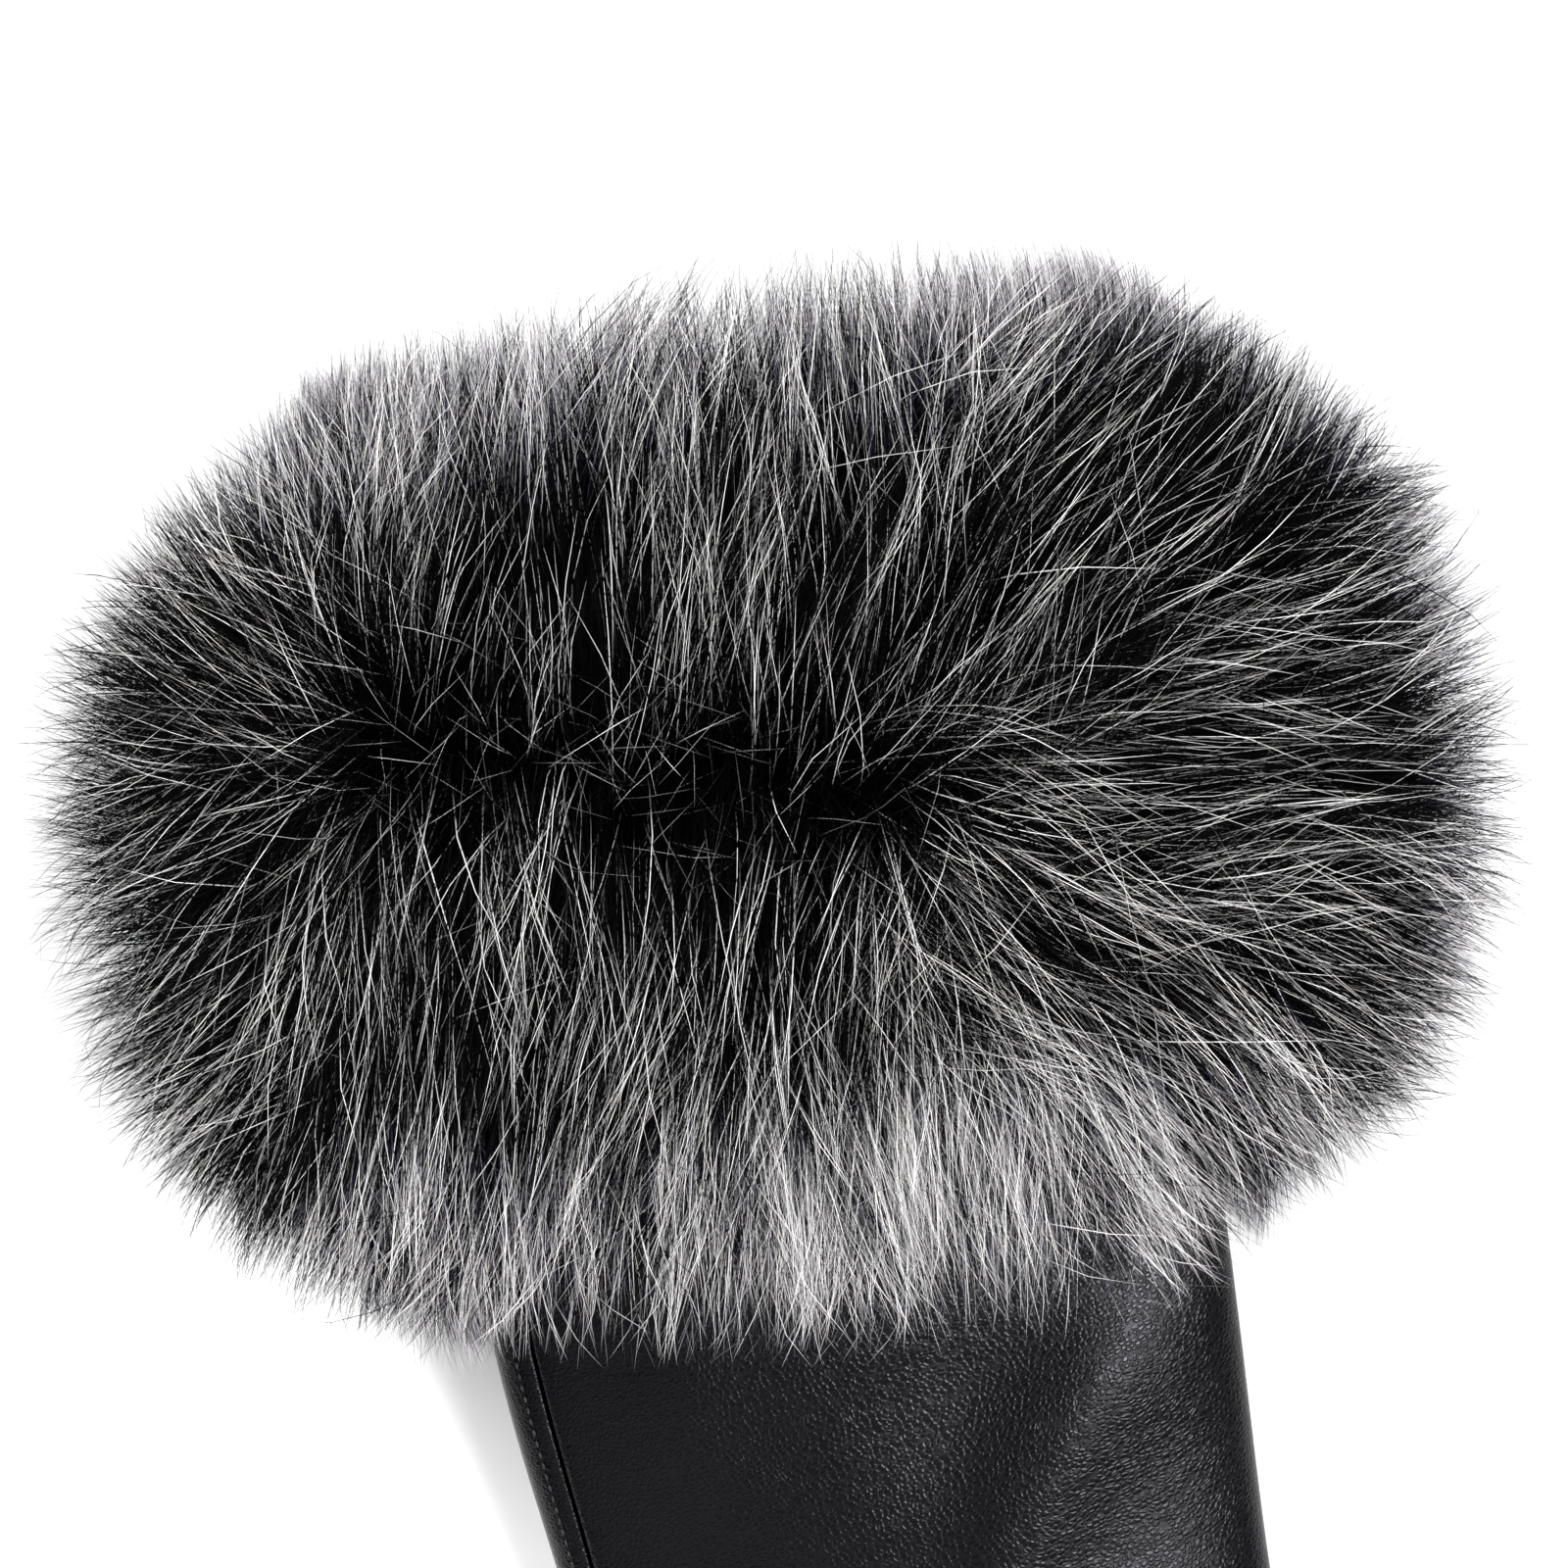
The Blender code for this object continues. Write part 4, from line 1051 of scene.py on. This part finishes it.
def leather_material():
    """Fine near-black lambskin: rounded pebbles in slanting rows, longer shallow creases, satin finish."""
    material, tree, shader = new_material("black_lambskin")
    place = add(tree, "ShaderNodeTexCoord")
    drift = texture(tree, "ShaderNodeTexNoise", Scale=70.0, Detail=2.0)
    moved = add(tree, "ShaderNodeVectorMath", operation="MULTIPLY_ADD")
    moved.inputs[1].default_value = (GRAIN_DRIFT,) * 3
    connect(tree, (drift, "Color", moved, 0), (place, "Object", moved, 2))
    rows = add(tree, "ShaderNodeMapping", Vector_Type="TEXTURE", Scale=GRAIN_STRETCH)
    settle(rows, Rotation=(0, 0, GRAIN_TURN))
    cells = add(tree, "ShaderNodeTexVoronoi", Feature="DISTANCE_TO_EDGE", Scale=1450.0, Randomness=0.85)
    domes = add(tree, "ShaderNodeMapRange", interpolation_type="SMOOTHSTEP", From_Max=0.30)
    connect(
        tree,
        (moved, "Vector", rows, "Vector"),
        (rows, "Vector", cells, "Vector"),
        (cells, "Distance", domes, "Value"),
    )
    stretch = add(tree, "ShaderNodeMapping", Scale=CREASE_STRETCH)
    creases = add(tree, "ShaderNodeTexNoise", Scale=420.0, Detail=2.0, Roughness=0.5, Distortion=0.3)
    connect(tree, (moved, "Vector", stretch, "Vector"), (stretch, "Vector", creases, "Vector"))
    soft = emboss(tree, creases, "Fac", Strength=0.35, Distance=0.25 * MM)
    grain = emboss(tree, domes, "Result", Strength=0.6, Distance=0.06 * MM)
    connect(tree, (soft, "Normal", grain, "Normal"), (grain, "Normal", shader, "Normal"))
    paint(tree, shader, texture(tree, "ShaderNodeTexNoise", Scale=60.0, Detail=4.0), LEATHER_TONES)
    rough = add(tree, "ShaderNodeMapRange", To_Min=0.35, To_Max=0.26)
    connect(tree, (domes, "Result", rough, "Value"), (rough, "Result", shader, "Roughness"))
    settle(shader, Specular_IOR_Level=0.16, Specular_Tint=(0.93, 0.91, 1.0, 1))
    return material


def thread_material():
    material, tree, shader = new_material("black_thread")
    twist = texture(tree, "ShaderNodeTexWave", Scale=900.0, Distortion=0.5)
    bump = emboss(tree, twist, "Fac", Strength=0.5, Distance=0.1 * MM)
    connect(tree, (bump, "Normal", shader, "Normal"))
    paint(tree, shader, twist, THREAD_TONES)
    settle(shader, Roughness=0.6)
    return material


def hair_material(name, stops, dim):
    """Hair coloured along its length by stops of (place, colour). A paler hair has a longer pale end."""
    material, tree, shader = new_material(name)
    place = add(tree, "ShaderNodeUVMap")
    place.uv_map = "OFBake"
    parts = add(tree, "ShaderNodeSeparateXYZ")
    late = add(tree, "ShaderNodeMath", operation="MULTIPLY_ADD")
    late.inputs[1].default_value = END_PER_SHADE
    late.inputs[2].default_value = LATEST_END
    along = add(tree, "ShaderNodeMath", operation="SUBTRACT")
    ramp = add(tree, "ShaderNodeValToRGB")
    for at, colour in stops[1:-1]:
        ramp.color_ramp.elements.new(at)
    for element, (at, colour) in zip(ramp.color_ramp.elements, stops):
        element.position = at
        element.color = (*colour, 1)
    level = add(tree, "ShaderNodeMapRange", From_Min=BLACK_SHADE, From_Max=FULL_SHADE, To_Min=dim, To_Max=1.0)
    scaled = add(tree, "ShaderNodeVectorMath", operation="SCALE")
    connect(
        tree,
        (place, "UV", parts, "Vector"),
        (parts, "X", late, 0),
        (parts, "Y", along, 0),
        (late, "Value", along, 1),
        (along, "Value", ramp, "Fac"),
        (parts, "X", level, "Value"),
        (ramp, "Color", scaled, 0),
        (level, "Result", scaled, "Scale"),
        (scaled, "Vector", shader, "Base Color"),
    )
    settle(shader, Roughness=0.55, Specular_IOR_Level=0.03)
    return material


def depth_and_shade_material():
    # Near-black: the lower hair's own colour with painted shade of the fur's depth
    material, tree, shader = new_material("fur_depth_dark")
    fine = texture(tree, "ShaderNodeTexNoise", Scale=900.0, Detail=3.0)
    paint(tree, shader, fine, DEPTH_AND_SHADE_TONES)
    bump = emboss(tree, fine, "Fac", Strength=1.0, Distance=1.0 * MM)
    connect(tree, (bump, "Normal", shader, "Normal"))
    settle(shader, Roughness=0.95, Specular_IOR_Level=0.05)
    return material


def floor_material():
    material, tree, shader = new_material("white_surface")
    paint(tree, shader, texture(tree, "ShaderNodeTexNoise", Scale=3.0), SURFACE_TONES)
    settle(shader, Roughness=0.9, Specular_IOR_Level=0.1)
    return material


# Assembly


def dress(obj, material, *nodes, slot="black_leather"):
    obj.data.materials.append(material)
    if nodes:
        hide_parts(*nodes)
    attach(obj, "root")


def build_leather():
    leather = leather_material()
    dress(build_panel("back_skin", True), leather, "back_panel")
    dress(build_panel("palm_skin", False), leather, "palm_panel")
    dress(build_thumb(), leather, "thumb")
    for i in range(1, len(FINGERS)):
        node = f"fourchette_{FINGERS[i].name}_{FINGERS[i - 1].name}"
        dress(build_fourchette(i), leather, node)
    dress(build_stitches(), thread_material())


def build_fur():
    chance = np.random.default_rng(5)
    guard = hair_material("silver_guard_hair", GUARD_STOPS, 0.006)
    under = hair_material("slate_underfur", UNDER_STOPS, 0.02)
    top = joined(top_hairs(chance, TOP_GUARD), core_hairs(chance, CORE_HAIRS))
    soft = top_hairs(chance, TOP_UNDER)
    side = joined(*[side_hairs(chance, group, GUARD) for group in SIDES])
    rim = joined(*[side_hairs(chance, group, UNDER) for group in SIDES])
    # Each piece's name, hairs, parts of a ribbon, material, and share of its length hidden in the dark depth
    for name, hairs, parts, material, start in (
        ("fur_top_guard_hair", top, 4, guard, 0.44),
        ("fur_top_underfur", soft, 4, under, 0.56),
        ("fur_side_guard_hair", side, 5, guard, 0.30),
        ("fur_side_underfur", rim, 4, under, 0.44),
    ):
        dress(build_ribbons(name, hairs, chance, parts, start), material, slot="silver_fur")
    dress(build_core(), depth_and_shade_material(), "fur_cuff", slot="silver_fur")


# The photograph: from straight above, turned 9 degrees, and 199 mm across at the height of the leather's back
VIEW_TURN = math.radians(9)
VIEW_CENTRE = (0.4 * MM, CUFF_Y + 66.6 * MM)
VIEW_ACROSS = 199 * MM
VIEW_PLANE = 26 * MM
LENS = 120.0
SENSOR = 36.0
FLOOR_SIZE, FLOOR_Z = 4.0, -0.2 * MM
WORLD_LIGHT = 0.15


def build_camera():
    data = bpy.data.cameras.new("camera")
    data.lens = LENS
    data.sensor_width = SENSOR
    camera = new_object("camera", data)
    distance = VIEW_ACROSS * LENS / SENSOR
    camera.location = (*VIEW_CENTRE, VIEW_PLANE + distance)
    camera.rotation_euler = (0, 0, -VIEW_TURN)
    bpy.context.scene.camera = camera


def build_floor():
    bm = bmesh.new()
    bmesh.ops.create_grid(bm, x_segments=4, y_segments=4, size=FLOOR_SIZE)
    mesh = bpy.data.meshes.new("floor")
    bm.to_mesh(mesh)
    bm.free()
    floor = new_object("floor", mesh)
    floor.location = (0, 0, FLOOR_Z)
    mesh.materials.append(floor_material())


# Soft boxes: where each stands, in degrees from +X, how far out and how high, and its size and power
SoftBox = namedtuple("SoftBox", "name turn out high size watts")
SOFT_BOXES = [
    SoftBox("key", 138, 0.95, 1.00, 0.9, 26),
    SoftBox("ridge", -48, 0.76, 1.05, 0.30, 18),
    SoftBox("low", -110, 1.15, 0.70, 1.0, 3.5),
    SoftBox("back", 50, 1.10, 0.80, 1.0, 16),
]


def build_lights():
    target = Vector((*VIEW_CENTRE, 0))
    for box in SOFT_BOXES:
        data = bpy.data.lights.new(box.name, "AREA")
        data.shape = "SQUARE"
        data.size = box.size
        data.energy = box.watts
        light = new_object(box.name, data)
        turn = math.radians(box.turn)
        light.location = target + Vector((box.out * math.cos(turn), box.out * math.sin(turn), box.high))
        light.rotation_euler = (target - light.location).to_track_quat("-Z", "Y").to_euler()
    world = bpy.data.worlds.new("studio")
    world.use_nodes = True
    background = world.node_tree.nodes["Background"]
    settle(background, Color=(1.0, 1.0, 1.0, 1.0), Strength=WORLD_LIGHT)
    bpy.context.scene.world = world
    bpy.context.scene.view_settings.view_transform = "Standard"


build_camera()
build_floor()
build_lights()
build_leather()
build_fur()
